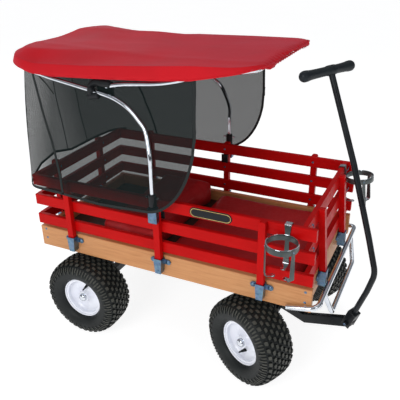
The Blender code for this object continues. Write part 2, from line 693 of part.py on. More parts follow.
def make_bows():
    """The main bow rises from both sockets and runs back; the front bow hinges on it."""
    arm = [(BOW_LEG_X, BOW_LEG_Y, BOW_FOOT_Z), (BOW_LEG_X, BOW_LEG_Y, 0.696), (-0.014, 0.277, 0.742),
           (-0.028, 0.266, 0.780), (-0.052, 0.259, 0.804), (-0.081, 0.253, 0.828), (-0.115, 0.249, 0.846),
           (-0.160, 0.246, 0.860), (-0.251, 0.246, 0.876), (-0.358, 0.244, 0.893)]
    rear = fillet([(-0.358, 0.244, 0.893), (-0.510, 0.232, 0.920), (-0.516, 0.0, 0.924)], 0.100, 7)[1:-1]
    half = [Vector(p) for p in arm] + rear
    main = tube_curve("main_bow", mirrored_path(half), TUBE_RADIUS)
    place(bpy.data.objects.new("main_bow", main), "chrome")
    px, pz = BOW_PIVOT
    front = [(px + 0.004, 0.246, pz), (-0.100, 0.246, 0.897), (0.000, 0.245, 0.904), (0.090, 0.242, 0.911),
             (0.200, 0.238, 0.926), (0.290, 0.234, 0.941), (0.288, 0.0, 0.943)]
    half = fillet(front[-3:], 0.060, 6)[1:-1]
    half = [Vector(p) for p in front[:-2]] + half
    local = [p - Vector((px, 0, pz)) for p in mirrored_path(half)]
    bow = bpy.data.objects.new("front_bow", tube_curve("front_bow", local, TUBE_RADIUS))
    place(bow, "chrome", (px, 0, pz))
    for side, sign in (("left", 1), ("right", -1)):
        board(f"bow_clamp_{side}", (px - 0.034, sign * 0.2325 - 0.0062, pz - 0.036),
              (px + 0.020, sign * 0.2325 + 0.0062, pz + 0.010), "black_grip", 0.003)


CANOPY_FOLD = ((-0.552, 0.946), (-0.17, 0.950), (0.10, 0.957), (0.30, 0.972))
CANOPY_HEM = ((-0.552, 0.903), (-0.347, 0.903), (-0.168, 0.910), (0.115, 0.928), (0.30, 0.956))


def canopy_half_width(x):
    """Half the canopy's width at a station, with its rear corners rounded."""
    start = CANOPY_REAR + CANOPY_CORNER
    if x >= start:
        return CANOPY_HALF
    return CANOPY_HALF - CANOPY_CORNER + math.sqrt(max(CANOPY_CORNER ** 2 - (start - x) ** 2, 0.0))


def canopy_point(x, v):
    """A point of the canopy's outer surface: x along the wagon, v from -1 to 1 across it."""
    half = canopy_half_width(x)
    fold = along(CANOPY_FOLD, x)
    hem = along(CANOPY_HEM, x)
    edge = abs(v)
    if edge > 0.8:
        drop = (edge - 0.8) / 0.2
        return (x, math.copysign(half - 0.006 * (1 - drop), v), fold + (hem - fold) * drop)
    crown = 0.012 * (1 - (edge / 0.8) ** 2)
    return (x, v / 0.8 * (half - 0.006), fold + crown)


def canopy_sheet(name, stations, close_rear):
    """A canopy panel from one grid; the rear panel also turns down along its back edge."""
    across = 14
    mesh = bpy.data.meshes.new(name)
    bm = bmesh.new()
    bmesh.ops.create_grid(bm, x_segments=len(stations) - 1, y_segments=across, size=1.0)
    hem = along(CANOPY_HEM, CANOPY_REAR)
    for vert in bm.verts:
        column = round((vert.co.x + 1) / 2 * (len(stations) - 1))
        x = stations[column]
        vert.co = canopy_point(x, vert.co.y)
        if close_rear and column == 0:
            vert.co.x -= 0.0015
            vert.co.z = hem
    bmesh.ops.recalc_face_normals(bm, faces=bm.faces)
    if sum(face.normal.z for face in bm.faces) < 0:
        bmesh.ops.reverse_faces(bm, faces=bm.faces)
    bm.to_mesh(mesh)
    bm.free()
    obj = bpy.data.objects.new(name, mesh)
    thick = obj.modifiers.new("cloth", "SOLIDIFY")
    thick.thickness = CANOPY_THICK
    thick.offset = -1
    return obj


def make_canopy():
    rear = [CANOPY_REAR + 0.0002, CANOPY_REAR + 0.0010, -0.545, -0.530, -0.508, -0.475, -0.432, -0.34, -0.25,
            CANOPY_SPLIT]
    front = [CANOPY_SPLIT + 0.001, -0.08, 0.02, 0.12, 0.21, 0.27, CANOPY_FRONT]
    place(canopy_sheet("canopy_rear", rear, True), "canopy_cloth")
    panel = canopy_sheet("canopy_front", front, False)
    px, pz = BOW_PIVOT
    panel.data.transform(Matrix.Translation((-px, 0, -pz)))
    place(panel, "canopy_cloth", (px, 0, pz))


def curtain_plan(s, flare):
    """Plan position of the curtain at s from -1, near front edge, to 1, far front edge.

    flare 0 is the top edge, under the canopy's hem; flare 1 is the lower part, outside the posts.
    """
    half = 0.257 + (0.3045 - 0.257) * flare
    back = -0.547 + (0.547 - 0.5085) * flare
    corner = 0.118 + (0.050 - 0.118) * flare
    front = 0.136
    side_run = front - (back + corner)
    arc_run = corner * math.pi / 2
    rear_run = half - corner
    t = (1 - abs(s)) * (side_run + arc_run + rear_run)
    sign = 1 if s >= 0 else -1
    if t < side_run:
        return (front - t, sign * half)
    if t < side_run + arc_run:
        angle = (t - side_run) / corner
        return (back + corner - corner * math.sin(angle), sign * (half - corner + corner * math.cos(angle)))
    return (back, sign * (half - corner - (t - side_run - arc_run)))


def curtain_foot(s):
    """Height of the curtain's lower edge: rounded at the front corners, higher across the back."""
    x, y = curtain_plan(s, 1.0)
    if x > -0.060:
        run = min((x + 0.060) / 0.1965, 1.0)
        return 0.740 - 0.205 * math.sqrt(1 - run ** 2)
    sag = along(((-0.46, 0.580), (-0.340, 0.544), (-0.187, 0.531), (-0.060, 0.535)), x)
    if x < -0.46:
        return 0.580
    return sag


def make_curtain():
    """The mesh curtain: one sheet round both sides and the back, hung from the canopy's hem."""
    columns = 34
    rows = 5
    mesh = bpy.data.meshes.new("mesh_curtain")
    bm = bmesh.new()
    bmesh.ops.create_grid(bm, x_segments=columns, y_segments=rows, size=1.0)
    for vert in bm.verts:
        s = vert.co.x
        down = (1 - vert.co.y) / 2
        top_x = curtain_plan(s, 0.0)[0]
        top = along(CANOPY_HEM, top_x) - 0.0022
        z = top + (curtain_foot(s) - top) * down
        flare = smoothstep((0.88 - z) / 0.2)
        x, y = curtain_plan(s, flare)
        vert.co = (x, y, z)
    bmesh.ops.recalc_face_normals(bm, faces=bm.faces)
    bm.to_mesh(mesh)
    bm.free()
    obj = bpy.data.objects.new("mesh_curtain", mesh)
    thick = obj.modifiers.new("cloth", "SOLIDIFY")
    thick.thickness = 0.003
    thick.offset = 0
    place(obj, "mesh_cloth")


# ---------------------------------------------------------------- the wagon
clear_scene()
FRAME = bpy.data.objects.new("wagon_frame", None)
WAGON.objects.link(FRAME)
FRAME.location = (-ORIGIN_SHIFT, 0, 0)

make_tray()
make_brackets()
make_side_racks()
make_gate("front_gate", FRONT_BOARD_X + POST_OFFSET, 1, GATE_LEAN)
make_gate("rear_gate", REAR_BOARD_X - POST_OFFSET, -1, 0.0)
strut_top = make_frame_rails()
make_rear_axle(strut_top)
make_front_axle(strut_top)
for wheel_side, wheel_sign in (("left", 1), ("right", -1)):
    make_wheel(f"rear_{wheel_side}", FRAME, (REAR_AXLE_X, wheel_sign * REAR_WHEEL_Y, WHEEL_Z), wheel_sign)
make_steering()
make_handle(make_tongue())
make_bumper()
make_cup_holders()
make_sockets()
make_bows()
make_canopy()
make_curtain()
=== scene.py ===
"""Looks of the wagon with pull handle: cloth, rubber, chrome, painted wood and hardware."""

import json
import math

import bmesh
import bpy
import numpy as np
from mathutils import Matrix, Vector


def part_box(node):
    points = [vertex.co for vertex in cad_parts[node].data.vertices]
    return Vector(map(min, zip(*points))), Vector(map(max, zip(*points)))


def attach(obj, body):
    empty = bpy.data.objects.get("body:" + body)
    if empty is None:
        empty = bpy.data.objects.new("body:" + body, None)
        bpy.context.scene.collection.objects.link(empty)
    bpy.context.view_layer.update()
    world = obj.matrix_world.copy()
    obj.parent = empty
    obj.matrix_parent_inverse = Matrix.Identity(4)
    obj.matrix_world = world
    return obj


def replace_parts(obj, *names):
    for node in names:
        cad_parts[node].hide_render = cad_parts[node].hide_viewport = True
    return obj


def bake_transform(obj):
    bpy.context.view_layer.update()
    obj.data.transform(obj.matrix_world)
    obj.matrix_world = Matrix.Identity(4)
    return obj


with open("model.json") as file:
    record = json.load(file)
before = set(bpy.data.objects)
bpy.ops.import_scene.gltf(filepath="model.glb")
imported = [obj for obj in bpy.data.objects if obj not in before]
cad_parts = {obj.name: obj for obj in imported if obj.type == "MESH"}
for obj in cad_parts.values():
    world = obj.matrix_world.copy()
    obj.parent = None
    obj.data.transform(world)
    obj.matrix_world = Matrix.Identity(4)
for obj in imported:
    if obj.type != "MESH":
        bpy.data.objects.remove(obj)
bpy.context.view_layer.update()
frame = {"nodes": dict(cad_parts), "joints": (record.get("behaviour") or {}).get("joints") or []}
JOINTS = {j["name"]: j for j in frame["joints"]}
NODES = frame["nodes"]

# ---------------------------------------------------------------- stations
# Lengths are measured from the tray's middle, as in the CAD; X0 moves them into the row's frame.
FRONT_END = 0.474
X0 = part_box("side_board_left")[1].x - FRONT_END
TRAY_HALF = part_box("side_board_left")[1].y
RACK_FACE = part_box("left_rail_upper")[1].y
RAIL_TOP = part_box("left_rail_upper")[1].z
WHEEL_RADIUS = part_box("tyre_rear_left")[1].z / 2
TUBE_RADIUS = 0.0065
BUMPER_RADIUS = 0.008
BOW_LEG = (-0.004, 0.2878)
BOW_PIVOT = (-0.165, 0.886)
BOW_HALF = 0.246             # half width of both bows at the pivots
GATE_FOOT = 0.464            # outer face of the front gate's slats below its bend
GATE_BEND_Z = 0.370
GATE_LEAN = math.radians(5.2)  # above the bend
RAIL_THICK = 0.014
SIDES = (("left", 1), ("right", -1))


def at(x, y, z):
    """A point given by its station along the tray."""
    return Vector((x + X0, y, z))


# ---------------------------------------------------------------- mesh tools
def mesh_object(name, verts, faces, material, smooth=True):
    mesh = bpy.data.meshes.new(name)
    mesh.from_pydata([tuple(v) for v in verts], [], faces)
    mesh.validate()
    mesh.materials.append(material)
    if smooth:
        soften(mesh)
    return linked(name, mesh)


def bm_object(name, bm, material):
    bmesh.ops.recalc_face_normals(bm, faces=bm.faces)
    mesh = bpy.data.meshes.new(name)
    bm.to_mesh(mesh)
    bm.free()
    mesh.materials.append(material)
    soften(mesh)
    return linked(name, mesh)


def linked(name, data):
    """An object in the scene; several may share one mesh."""
    obj = bpy.data.objects.new(name, data)
    bpy.context.scene.collection.objects.link(obj)
    return obj


def soften(mesh, angle=38):
    """Smooth shading that keeps edges sharper than the angle."""
    mesh.shade_smooth()
    mesh.set_sharp_from_angle(angle=math.radians(angle))


def put(obj, body, matrix=None):
    if matrix is not None:
        obj.matrix_world = matrix
    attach(obj, body)
    return obj


def aimed(point, direction, up=(0, 0, 1)):
    """A placement whose local Z runs along direction."""
    z = Vector(direction).normalized()
    x = Vector(up).cross(z)
    if x.length < 1e-6:
        x = Vector((1, 0, 0))
    x.normalize()
    y = z.cross(x)
    turn = Matrix((x, y, z)).transposed().to_4x4()
    return Matrix.Translation(point) @ turn


def catmull(points, per_span=8):
    """A smooth curve through the points."""
    pts = [Vector(p) for p in points]
    pts = [pts[0] * 2 - pts[1]] + pts + [pts[-1] * 2 - pts[-2]]
    out = []
    for a, b, c, d in zip(pts, pts[1:], pts[2:], pts[3:]):
        for i in range(per_span):
            t = i / per_span
            out.append(0.5 * (2 * b + (c - a) * t + (2 * a - 5 * b + 4 * c - d) * t ** 2
                              + (3 * b - a - 3 * c + d) * t ** 3))
    out.append(pts[-2])
    return out


def fillet(points, radius, steps=8):
    """A polyline with its inner corners rounded."""
    points = [Vector(p) for p in points]
    out = [points[0]]
    for before, corner, after in zip(points, points[1:], points[2:]):
        a = (before - corner).normalized()
        b = (after - corner).normalized()
        half = a.angle(b) / 2
        reach = min(radius / math.tan(half), 0.45 * min((before - corner).length, (after - corner).length))
        start = corner + a * reach
        end = corner + b * reach
        for i in range(steps + 1):
            t = i / steps
            out.append(start.lerp(corner, t).lerp(corner.lerp(end, t), t))
    out.append(points[-1])
    return out


def mirrored(half):
    """A half path ending at the middle plane, carried on to the other side."""
    return half + [Vector((p.x, -p.y, p.z)) for p in reversed(half[:-1])]


def directions(path):
    """The unit direction of a path at each of its points."""
    last = len(path) - 1
    return [(path[min(i + 1, last)] - path[max(i - 1, 0)]).normalized() for i in range(last + 1)]


def sweep(name, path, radius, material, sides=16, flat=1.0, normal=None):
    """A tube along a path with closed, softly rounded ends. flat squeezes it across its normal."""
    path = [Vector(p) for p in path]
    tangents = directions(path)
    side = Vector(normal) if normal else tangents[0].orthogonal()
    verts = []
    rings = []

    def ring(centre, tangent, scale):
        nonlocal side
        side = (side - tangent * side.dot(tangent)).normalized()
        other = tangent.cross(side)
        rings.append(len(verts))
        for k in range(sides):
            a = 2 * math.pi * k / sides
            verts.append(centre + (side * math.cos(a) * flat + other * math.sin(a)) * radius * scale)

    soft = radius * 0.25
    ring(path[0], tangents[0], 0.78)
    ring(path[0] + tangents[0] * soft, tangents[0], 1.0)
    for centre, tangent in zip(path[1:-1], tangents[1:-1]):
        ring(centre, tangent, 1.0)
    ring(path[-1] - tangents[-1] * soft, tangents[-1], 1.0)
    ring(path[-1], tangents[-1], 0.78)
    faces = [tuple(reversed(range(sides)))]
    for a, b in zip(rings, rings[1:]):
        for k in range(sides):
            n = (k + 1) % sides
            faces.append((a + k, a + n, b + n, b + k))
    faces.append(tuple(rings[-1] + k for k in range(sides)))
    return mesh_object(name, verts, faces, material)


def revolve(name, profile, material, steps=48, closed=False):
    """A solid of revolution about local Z. An open profile starts and ends on the axis."""
    verts = []
    faces = []
    rings = []
    for r, z in profile:
        if r < 1e-6:
            rings.append([len(verts)])
            verts.append((0.0, 0.0, z))
            continue
        rings.append(list(range(len(verts), len(verts) + steps)))
        for k in range(steps):
            a = 2 * math.pi * k / steps
            verts.append((r * math.cos(a), r * math.sin(a), z))
    pairs = list(zip(rings, rings[1:]))
    if closed:
        pairs.append((rings[-1], rings[0]))
    for a, b in pairs:
        for k in range(steps):
            n = (k + 1) % steps
            if len(a) == 1:
                faces.append((a[0], b[k], b[n]))
            elif len(b) == 1:
                faces.append((a[k], b[0], a[n]))
            else:
                faces.append((a[k], b[k], b[n], a[n]))
    return mesh_object(name, verts, faces, material)


def soft_box(name, low, high, bevel, material, segments=3):
    bm = bmesh.new()
    size = [b - a for a, b in zip(low, high)]
    centre = [(a + b) / 2 for a, b in zip(low, high)]
    bmesh.ops.create_cube(bm, size=1.0, matrix=Matrix.Translation(centre) @ Matrix.Diagonal((*size, 1.0)))
    bmesh.ops.bevel(bm, geom=list(bm.edges), offset=bevel, segments=segments, affect="EDGES", profile=0.5)
    return bm_object(name, bm, material)


def strap(name, path, width, thickness, material, across):
    """A flat steel strap bent along a path; across is the direction of its width."""
    path = [Vector(p) for p in path]
    across = Vector(across).normalized()
    verts = []
    count = len(path)
    half = across * width / 2
    for i, (here, run) in enumerate(zip(path, directions(path))):
        out = run.cross(across).normalized() * thickness / 2
        trim = 0.55 if i in (0, count - 1) else 1.0
        verts += [here - half * trim - out, here + half * trim - out,
                  here + half * trim + out, here - half * trim + out]
    faces = [(3, 2, 1, 0)]
    for i in range(count - 1):
        a = 4 * i
        for k in range(4):
            n = (k + 1) % 4
            faces.append((a + k, a + n, a + 4 + n, a + 4 + k))
    last = 4 * (count - 1)
    faces.append((last, last + 1, last + 2, last + 3))
    obj = mesh_object(name, verts, faces, material)
    bm = bmesh.new()
    bm.from_mesh(obj.data)
    bmesh.ops.recalc_face_normals(bm, faces=bm.faces)
    bm.to_mesh(obj.data)
    bm.free()
    soften(obj.data)
    return obj


def join(name, objs):
    """Several meshes as one piece."""
    bpy.context.view_layer.update()
    bm = bmesh.new()
    materials = []
    for obj in objs:
        mesh = obj.data.copy()
        mesh.transform(obj.matrix_world)
        index = []
        for mat in obj.data.materials:
            if mat not in materials:
                materials.append(mat)
            index.append(materials.index(mat))
        start = len(bm.faces)
        bm.from_mesh(mesh)
        bm.faces.ensure_lookup_table()
        for face in bm.faces[start:]:
            face.material_index = index[face.material_index]
        bpy.data.meshes.remove(mesh)
    for obj in objs:
        bpy.data.objects.remove(obj, do_unlink=True)
    mesh = bpy.data.meshes.new(name)
    bm.to_mesh(mesh)
    bm.free()
    for mat in materials:
        mesh.materials.append(mat)
    return linked(name, mesh)


def smoothstep(t):
    t = min(max(t, 0.0), 1.0)
    return t * t * (3 - 2 * t)


def along(table, x):
    """Straight-line interpolation in a short table of (station, value) pairs."""
    if x <= table[0][0]:
        return table[0][1]
    for (x0, y0), (x1, y1) in zip(table, table[1:]):
        if x <= x1:
            return y0 + (y1 - y0) * (x - x0) / (x1 - x0)
    return table[-1][1]


# ---------------------------------------------------------------- materials
class Maker:
    """A short way to write a node material."""

    def __init__(self, name):
        self.mat = bpy.data.materials.new(name)
        self.mat.use_nodes = True
        self.tree = self.mat.node_tree
        self.shader = self.tree.nodes["Principled BSDF"]
        self.coords = self.tree.nodes.new("ShaderNodeTexCoord").outputs

    def node(self, kind, settings=None, **inputs):
        made = self.tree.nodes.new(kind)
        for key, value in (settings or {}).items():
            setattr(made, key, value)
        for key, value in inputs.items():
            self.feed(made.inputs[key.replace("_", " ")], value)
        return made

    def feed(self, socket, value):
        if isinstance(value, bpy.types.NodeSocket):
            self.tree.links.new(value, socket)
        elif hasattr(socket.default_value, "__len__") and len(value) == 3 and socket.type == "RGBA":
            socket.default_value = (*value, 1.0)
        else:
            socket.default_value = value

    def set(self, **inputs):
        for key, value in inputs.items():
            self.feed(self.shader.inputs[key.replace("_", " ")], value)

    def scaled(self, scale, source="Object"):
        return self.node("ShaderNodeMapping", Vector=self.coords[source], Scale=scale).outputs[0]

    def noise(self, scale, detail=4.0, rough=0.5, vector=None, distortion=0.0):
        made = self.node("ShaderNodeTexNoise", Scale=scale, Detail=detail, Roughness=rough,
                         Distortion=distortion, Vector=vector or self.coords["Object"])
        return made.outputs["Fac"]

    def threads(self, scale):
        """Warp and weft of a plain weave, in the sheet's own coordinates."""
        return [self.node("ShaderNodeTexWave", {"bands_direction": way}, Scale=scale,
                          Vector=self.coords["UV"]).outputs["Fac"] for way in "XY"]

    def ramp(self, fac, *stops):
        made = self.node("ShaderNodeValToRGB", Fac=fac)
        ramp = made.color_ramp
        while len(ramp.elements) < len(stops):
            ramp.elements.new(0.5)
        for element, (place, value) in zip(ramp.elements, stops):
            element.position = place
            element.color = (*value, 1.0) if hasattr(value, "__len__") else (value, value, value, 1.0)
        return made.outputs["Color"]

    def spread(self, fac, low, high):
        """From one colour or value to another over the middle of a factor's range."""
        return self.ramp(fac, (0.3, low), (0.7, high))

    def mix(self, fac, a, b, blend="MIX"):
        made = self.tree.nodes.new("ShaderNodeMix")
        made.data_type = "RGBA"
        made.blend_type = blend
        self.feed(made.inputs[0], fac)
        self.feed(made.inputs[6], a)
        self.feed(made.inputs[7], b)
        return made.outputs[2]

    def math(self, operation, a, b=0.0):
        made = self.tree.nodes.new("ShaderNodeMath")
        made.operation = operation
        self.feed(made.inputs[0], a)
        self.feed(made.inputs[1], b)
        return made.outputs[0]

    def bump(self, height, strength, distance, normal=None):
        made = self.node("ShaderNodeBump", Strength=strength, Distance=distance, Height=height)
        if normal:
            self.feed(made.inputs["Normal"], normal)
        self.set(Normal=made.outputs[0])
        return made.outputs[0]


GRAIN_SCALE = {"X": (1.0, 14.0, 14.0), "Y": (14.0, 1.0, 14.0), "Z": (14.0, 14.0, 1.0)}


def red_paint(axis):
    """Gloss red enamel with the wood's grain just telegraphing through it."""
    m = Maker(f"red_enamel_{axis}")
    grain = m.noise(22, 5, 0.6, m.scaled(GRAIN_SCALE[axis]), 0.4)
    wear = m.noise(7, 3, 0.5)
    tone = m.ramp(wear, (0.30, (0.47, 0.0020, 0.0024)), (0.70, (0.55, 0.0032, 0.0032)))
    streaks = m.ramp(grain, (0.35, (0.30, 0.001, 0.002)), (0.65, (0.80, 0.01, 0.01)))
    m.set(Base_Color=m.mix(0.10, tone, streaks))
    m.set(Roughness=m.spread(m.noise(45, 3), 0.30, 0.46))
    m.set(Specular_IOR_Level=0.08)
    m.bump(grain, 0.22, 0.0006)
    return m.mat


def oak_wood(axis):
    """Clear varnished oak: long grain, darker pores, slow colour changes from board to board."""
    m = Maker(f"oak_{axis}")
    long = m.scaled(GRAIN_SCALE[axis])
    bands = m.noise(9, 6, 0.62, long, 0.9)
    pores = m.noise(60, 3, 0.7, long)
    slow = m.noise(3, 2)
    tone = m.ramp(bands, (0.28, (0.48, 0.20, 0.070)), (0.50, (0.61, 0.28, 0.110)),
                  (0.72, (0.70, 0.36, 0.160)))
    tone = m.mix(0.35, tone, m.ramp(slow, (0.35, (0.52, 0.21, 0.075)), (0.65, (0.68, 0.35, 0.155))))
    m.set(Base_Color=m.mix(m.ramp(pores, (0.58, 0.0), (0.72, 0.45)), tone, (0.40, 0.15, 0.045)))
    m.set(Roughness=m.spread(bands, 0.34, 0.48))
    m.set(Specular_IOR_Level=0.30)
    m.bump(pores, 0.25, 0.0004)
    return m.mat


def dark_ply():
    m = Maker("dark_plywood")
    grain = m.noise(12, 5, 0.6, m.scaled(GRAIN_SCALE["X"]), 0.6)
    m.set(Base_Color=m.spread(grain, (0.030, 0.020, 0.016), (0.085, 0.060, 0.045)))
    m.set(Roughness=m.spread(grain, 0.45, 0.62))
    m.bump(grain, 0.3, 0.0006)
    return m.mat


def zinc_plate():
    """Bright zinc plating with a fine spangle and handling marks."""
    m = Maker("zinc_plate")
    cells = m.node("ShaderNodeTexVoronoi", Scale=260, Vector=m.coords["Object"]).outputs["Color"]
    cloud = m.noise(90, 4)
    tone = m.spread(cloud, (0.09, 0.16, 0.25), (0.19, 0.29, 0.41))
    m.set(Base_Color=m.mix(0.12, tone, cells, "OVERLAY"), Metallic=1.0)
    m.set(Roughness=m.spread(cloud, 0.26, 0.44))
    m.bump(m.noise(300, 2), 0.10, 0.0003)
    return m.mat


def chrome():
    m = Maker("polished_chrome")
    haze = m.noise(60, 3)
    m.set(Base_Color=m.spread(haze, (0.62, 0.66, 0.72), (0.76, 0.79, 0.84)), Metallic=1.0)
    m.set(Roughness=m.ramp(haze, (0.4, 0.06), (0.8, 0.13)))
    return m.mat


def steel_paint(name, low, high, rough, coat, metallic=0.0):
    """Powder coat: a fine orange-peel skin over steel."""
    m = Maker(name)
    peel = m.noise(420, 2)
    cloud = m.noise(18, 3)
    m.set(Base_Color=m.spread(cloud, low, high), Metallic=metallic)
    m.set(Roughness=m.spread(cloud, rough - 0.05, rough + 0.07))
    m.set(Coat_Weight=coat, Coat_Roughness=0.2, Specular_IOR_Level=0.18)
    m.bump(peel, 0.12, 0.0003)
    return m.mat


def rubber(name, dusty):
    """Tyre rubber: near black, dusty grey where it has touched the ground."""
    m = Maker(name)
    cloud = m.noise(26, 5, 0.6)
    fine = m.noise(240, 3)
    low = (0.040, 0.042, 0.036) if dusty else (0.006, 0.008, 0.008)
    high = (0.085, 0.085, 0.072) if dusty else (0.013, 0.016, 0.016)
    m.set(Base_Color=m.ramp(cloud, (0.3, low), (0.75, high)))
    m.set(Roughness=m.spread(fine, 0.45, 0.65))
    m.set(Specular_IOR_Level=0.30)
    m.bump(fine, 0.25, 0.0004)
    return m.mat


def rim_paint():
    m = Maker("white_enamel")
    cloud = m.noise(22, 3)
    m.set(Base_Color=m.spread(cloud, (0.82, 0.84, 0.93), (0.90, 0.92, 0.98)))
    m.set(Roughness=m.spread(cloud, 0.22, 0.32))
    m.set(Coat_Weight=0.4, Coat_Roughness=0.1)
    m.bump(m.noise(300, 2), 0.05, 0.0002)
    return m.mat


def vinyl():
    """Burgundy vinyl with a leather-like grain."""
    m = Maker("burgundy_vinyl")
    cells = m.node("ShaderNodeTexVoronoi", {"feature": "DISTANCE_TO_EDGE"}, Scale=520,
                   Vector=m.coords["Object"]).outputs["Distance"]
    cloud = m.noise(9, 4)
    m.set(Base_Color=m.spread(cloud, (0.36, 0.011, 0.013), (0.46, 0.015, 0.018)))
    m.set(Roughness=m.spread(m.noise(80, 3), 0.42, 0.57), Specular_IOR_Level=0.2)
    m.bump(cells, 0.25, 0.0006)
    return m.mat


def canopy_cloth():
    """Coated red nylon: a fine plain weave and a pale sheen at grazing angles."""
    m = Maker("red_nylon")
    u, v = m.threads(420)
    weave = m.math("MULTIPLY", u, v)
    cloud = m.noise(7, 4)
    m.set(Base_Color=m.spread(cloud, (0.50, 0.006, 0.012), (0.58, 0.008, 0.015)))
    m.set(Roughness=m.spread(cloud, 0.60, 0.72), Specular_IOR_Level=0.12)
    m.set(Sheen_Weight=0.20, Sheen_Roughness=0.5, Sheen_Tint=(1.0, 0.35, 0.5, 1.0))
    creases = m.noise(16, 4, 0.6, None, 0.8)
    first = m.bump(creases, 0.30, 0.003)
    m.bump(weave, 0.20, 0.0003, first)
    return m.mat


def sun_mesh():
    """Black woven sun mesh: threads with open holes between them."""
    m = Maker("sun_mesh")
    u, v = m.threads(160)
    thread = m.math("MAXIMUM", u, v)
    around = m.node("ShaderNodeSeparateXYZ", Vector=m.coords["UV"]).outputs[0]
    open_weave = m.ramp(thread, (0.35, 0.28), (0.80, 0.72))
    close_weave = m.ramp(thread, (0.35, 0.66), (0.80, 0.94))
    cover = m.mix(m.ramp(m.math("ADD", around, 0.5), (0.12, 1.0), (0.20, 0.0), (0.42, 0.0), (0.56, 1.0)),
                  open_weave, close_weave)
    m.set(Base_Color=m.ramp(thread, (0.2, (0.004, 0.007, 0.007)), (0.9, (0.010, 0.016, 0.016))))
    m.set(Roughness=0.85, Alpha=cover, Specular_IOR_Level=0.05)
    return m.mat


def tape_cloth():
    """Black grosgrain binding."""
    m = Maker("black_binding")
    ribs = m.node("ShaderNodeTexWave", {"bands_direction": "Z"}, Scale=260,
                  Vector=m.coords["Object"]).outputs["Fac"]
    tone = m.ramp(ribs, (0.2, (0.004, 0.007, 0.007)), (0.8, (0.014, 0.018, 0.018)))
    m.set(Base_Color=tone, Roughness=0.85)
    m.bump(ribs, 0.3, 0.0004)
    return m.mat


def gold_line():
    m = Maker("gold_line")
    cloud = m.noise(120, 2)
    m.set(Base_Color=m.spread(cloud, (0.50, 0.34, 0.10), (0.66, 0.48, 0.18)), Roughness=0.4,
          Metallic=0.4)
    return m.mat


RED = {axis: red_paint(axis) for axis in "XYZ"}
OAK = {axis: oak_wood(axis) for axis in "XY"}
PLY = dark_ply()
ZINC = zinc_plate()
CHROME = chrome()
BLACK = steel_paint("black_powder", (0.006, 0.007, 0.009), (0.013, 0.016, 0.019), 0.30, 0.05)
PLASTIC = steel_paint("black_plastic", (0.008, 0.009, 0.010), (0.014, 0.016, 0.019), 0.42, 0.05)
GRIP = steel_paint("grip_rubber", (0.010, 0.013, 0.018), (0.014, 0.020, 0.022), 0.46, 0.03)
GREY = steel_paint("grey_powder", (0.055, 0.068, 0.068), (0.115, 0.130, 0.130), 0.34, 0.2, 0.55)
SIDEWALL = rubber("tyre_sidewall", False)
TREAD = rubber("tyre_tread", True)
WHITE = rim_paint()
VINYL = vinyl()
NYLON = canopy_cloth()
MESH = sun_mesh()
TAPE = tape_cloth()
GOLD = gold_line()


def finish_cad_nodes():
    """CAD pieces whose shape is right keep it and get their real finish."""
    for name, obj in NODES.items():
        mat = BLACK
        if "_rail_" in name:
            mat = RED["X"]
        elif "_post_" in name:
            mat = RED["Z"]
        elif name.endswith("_gate"):
            mat = RED["Y"]
        elif name.startswith("side_board"):
            mat = OAK["X"]
        elif name in ("front_board", "rear_board"):
            mat = OAK["Y"]
        elif name == "deck_panel":
            mat = PLY
        elif name.startswith(("bracket_", "canopy_socket")):
            mat = ZINC
        elif name.startswith("bow_clamp"):
            mat = PLASTIC
        obj.data.materials.clear()
        obj.data.materials.append(mat)


# ---------------------------------------------------------------- wheels
TREAD_DEPTH = 0.0055
LUGS_ROUND = 38
SIDEWALL_HALF = [(0.0, 0.1368), (0.016, 0.1366), (0.030, 0.1356), (0.041, 0.1332), (0.050, 0.1285),
                 (0.057, 0.1215), (0.0605, 0.1130), (0.0612, 0.1040), (0.0595, 0.0950), (0.0560, 0.0870),
                 (0.0515, 0.0805), (0.0455, 0.0762), (0.0405, 0.0740)]


def tyre_section():
    """The carcass section from its crown to its outer bead: (across, radius) every few millimetres."""
    return [(p.x, p.y) for p in catmull([(a, r, 0) for a, r in SIDEWALL_HALF], 3)]


class Section:
    """Places points on the carcass by their distance from the crown, measured along the section."""

    def __init__(self):
        self.points = [Vector(p) for p in tyre_section()]
        self.length = [0.0]
        for a, b in zip(self.points, self.points[1:]):
            self.length.append(self.length[-1] + (b - a).length)

    def place(self, s, angle, height):
        run = abs(s)
        i = max(k for k in range(len(self.length) - 1) if self.length[k] <= run or k == 0)
        a, b = self.points[i], self.points[i + 1]
        t = (run - self.length[i]) / (self.length[i + 1] - self.length[i])
        point = a.lerp(b, t)
        tangent = (b - a).normalized()
        out = Vector((-tangent.y, tangent.x))
        if out.y < 0 and out.x < 0:
            out = -out
        point = point + out * height
        z = math.copysign(point.x, s)
        return Vector((point.y * math.cos(angle), point.y * math.sin(angle), z))


def add_lug(bm, section, angle, half_turn, s_from, s_to, slices, height, shear=0.0):
    """One rubber block: a chamfered pad that follows the carcass between two section stations."""
    rows = []
    stations = [s_from + (s_to - s_from) * i / slices for i in range(slices + 1)]
    chamfer = 0.0012
    lift = math.copysign(chamfer, s_to - s_from)
    for i, s in enumerate(stations):
        mean = angle + shear * (i / slices - 0.5)
        inner = s + (lift if i == 0 else 0.0) - (lift if i == slices else 0.0)
        tight = half_turn - chamfer / WHEEL_RADIUS
        narrow = 0.80 if i in (0, slices) else 1.0
        row = []
        for share, level, where in ((-half_turn * narrow, -0.001, s), (-tight * narrow, height, inner),
                                    (tight * narrow, height, inner), (half_turn * narrow, -0.001, s)):
            row.append(bm.verts.new(section.place(where, mean + share, level)))
        rows.append(row)
    for a, b in zip(rows, rows[1:]):
        for k in range(3):
            bm.faces.new((a[k], a[k + 1], b[k + 1], b[k])).material_index = int(k == 1)
    for row in (rows[0], rows[-1]):
        bm.faces.new(row)


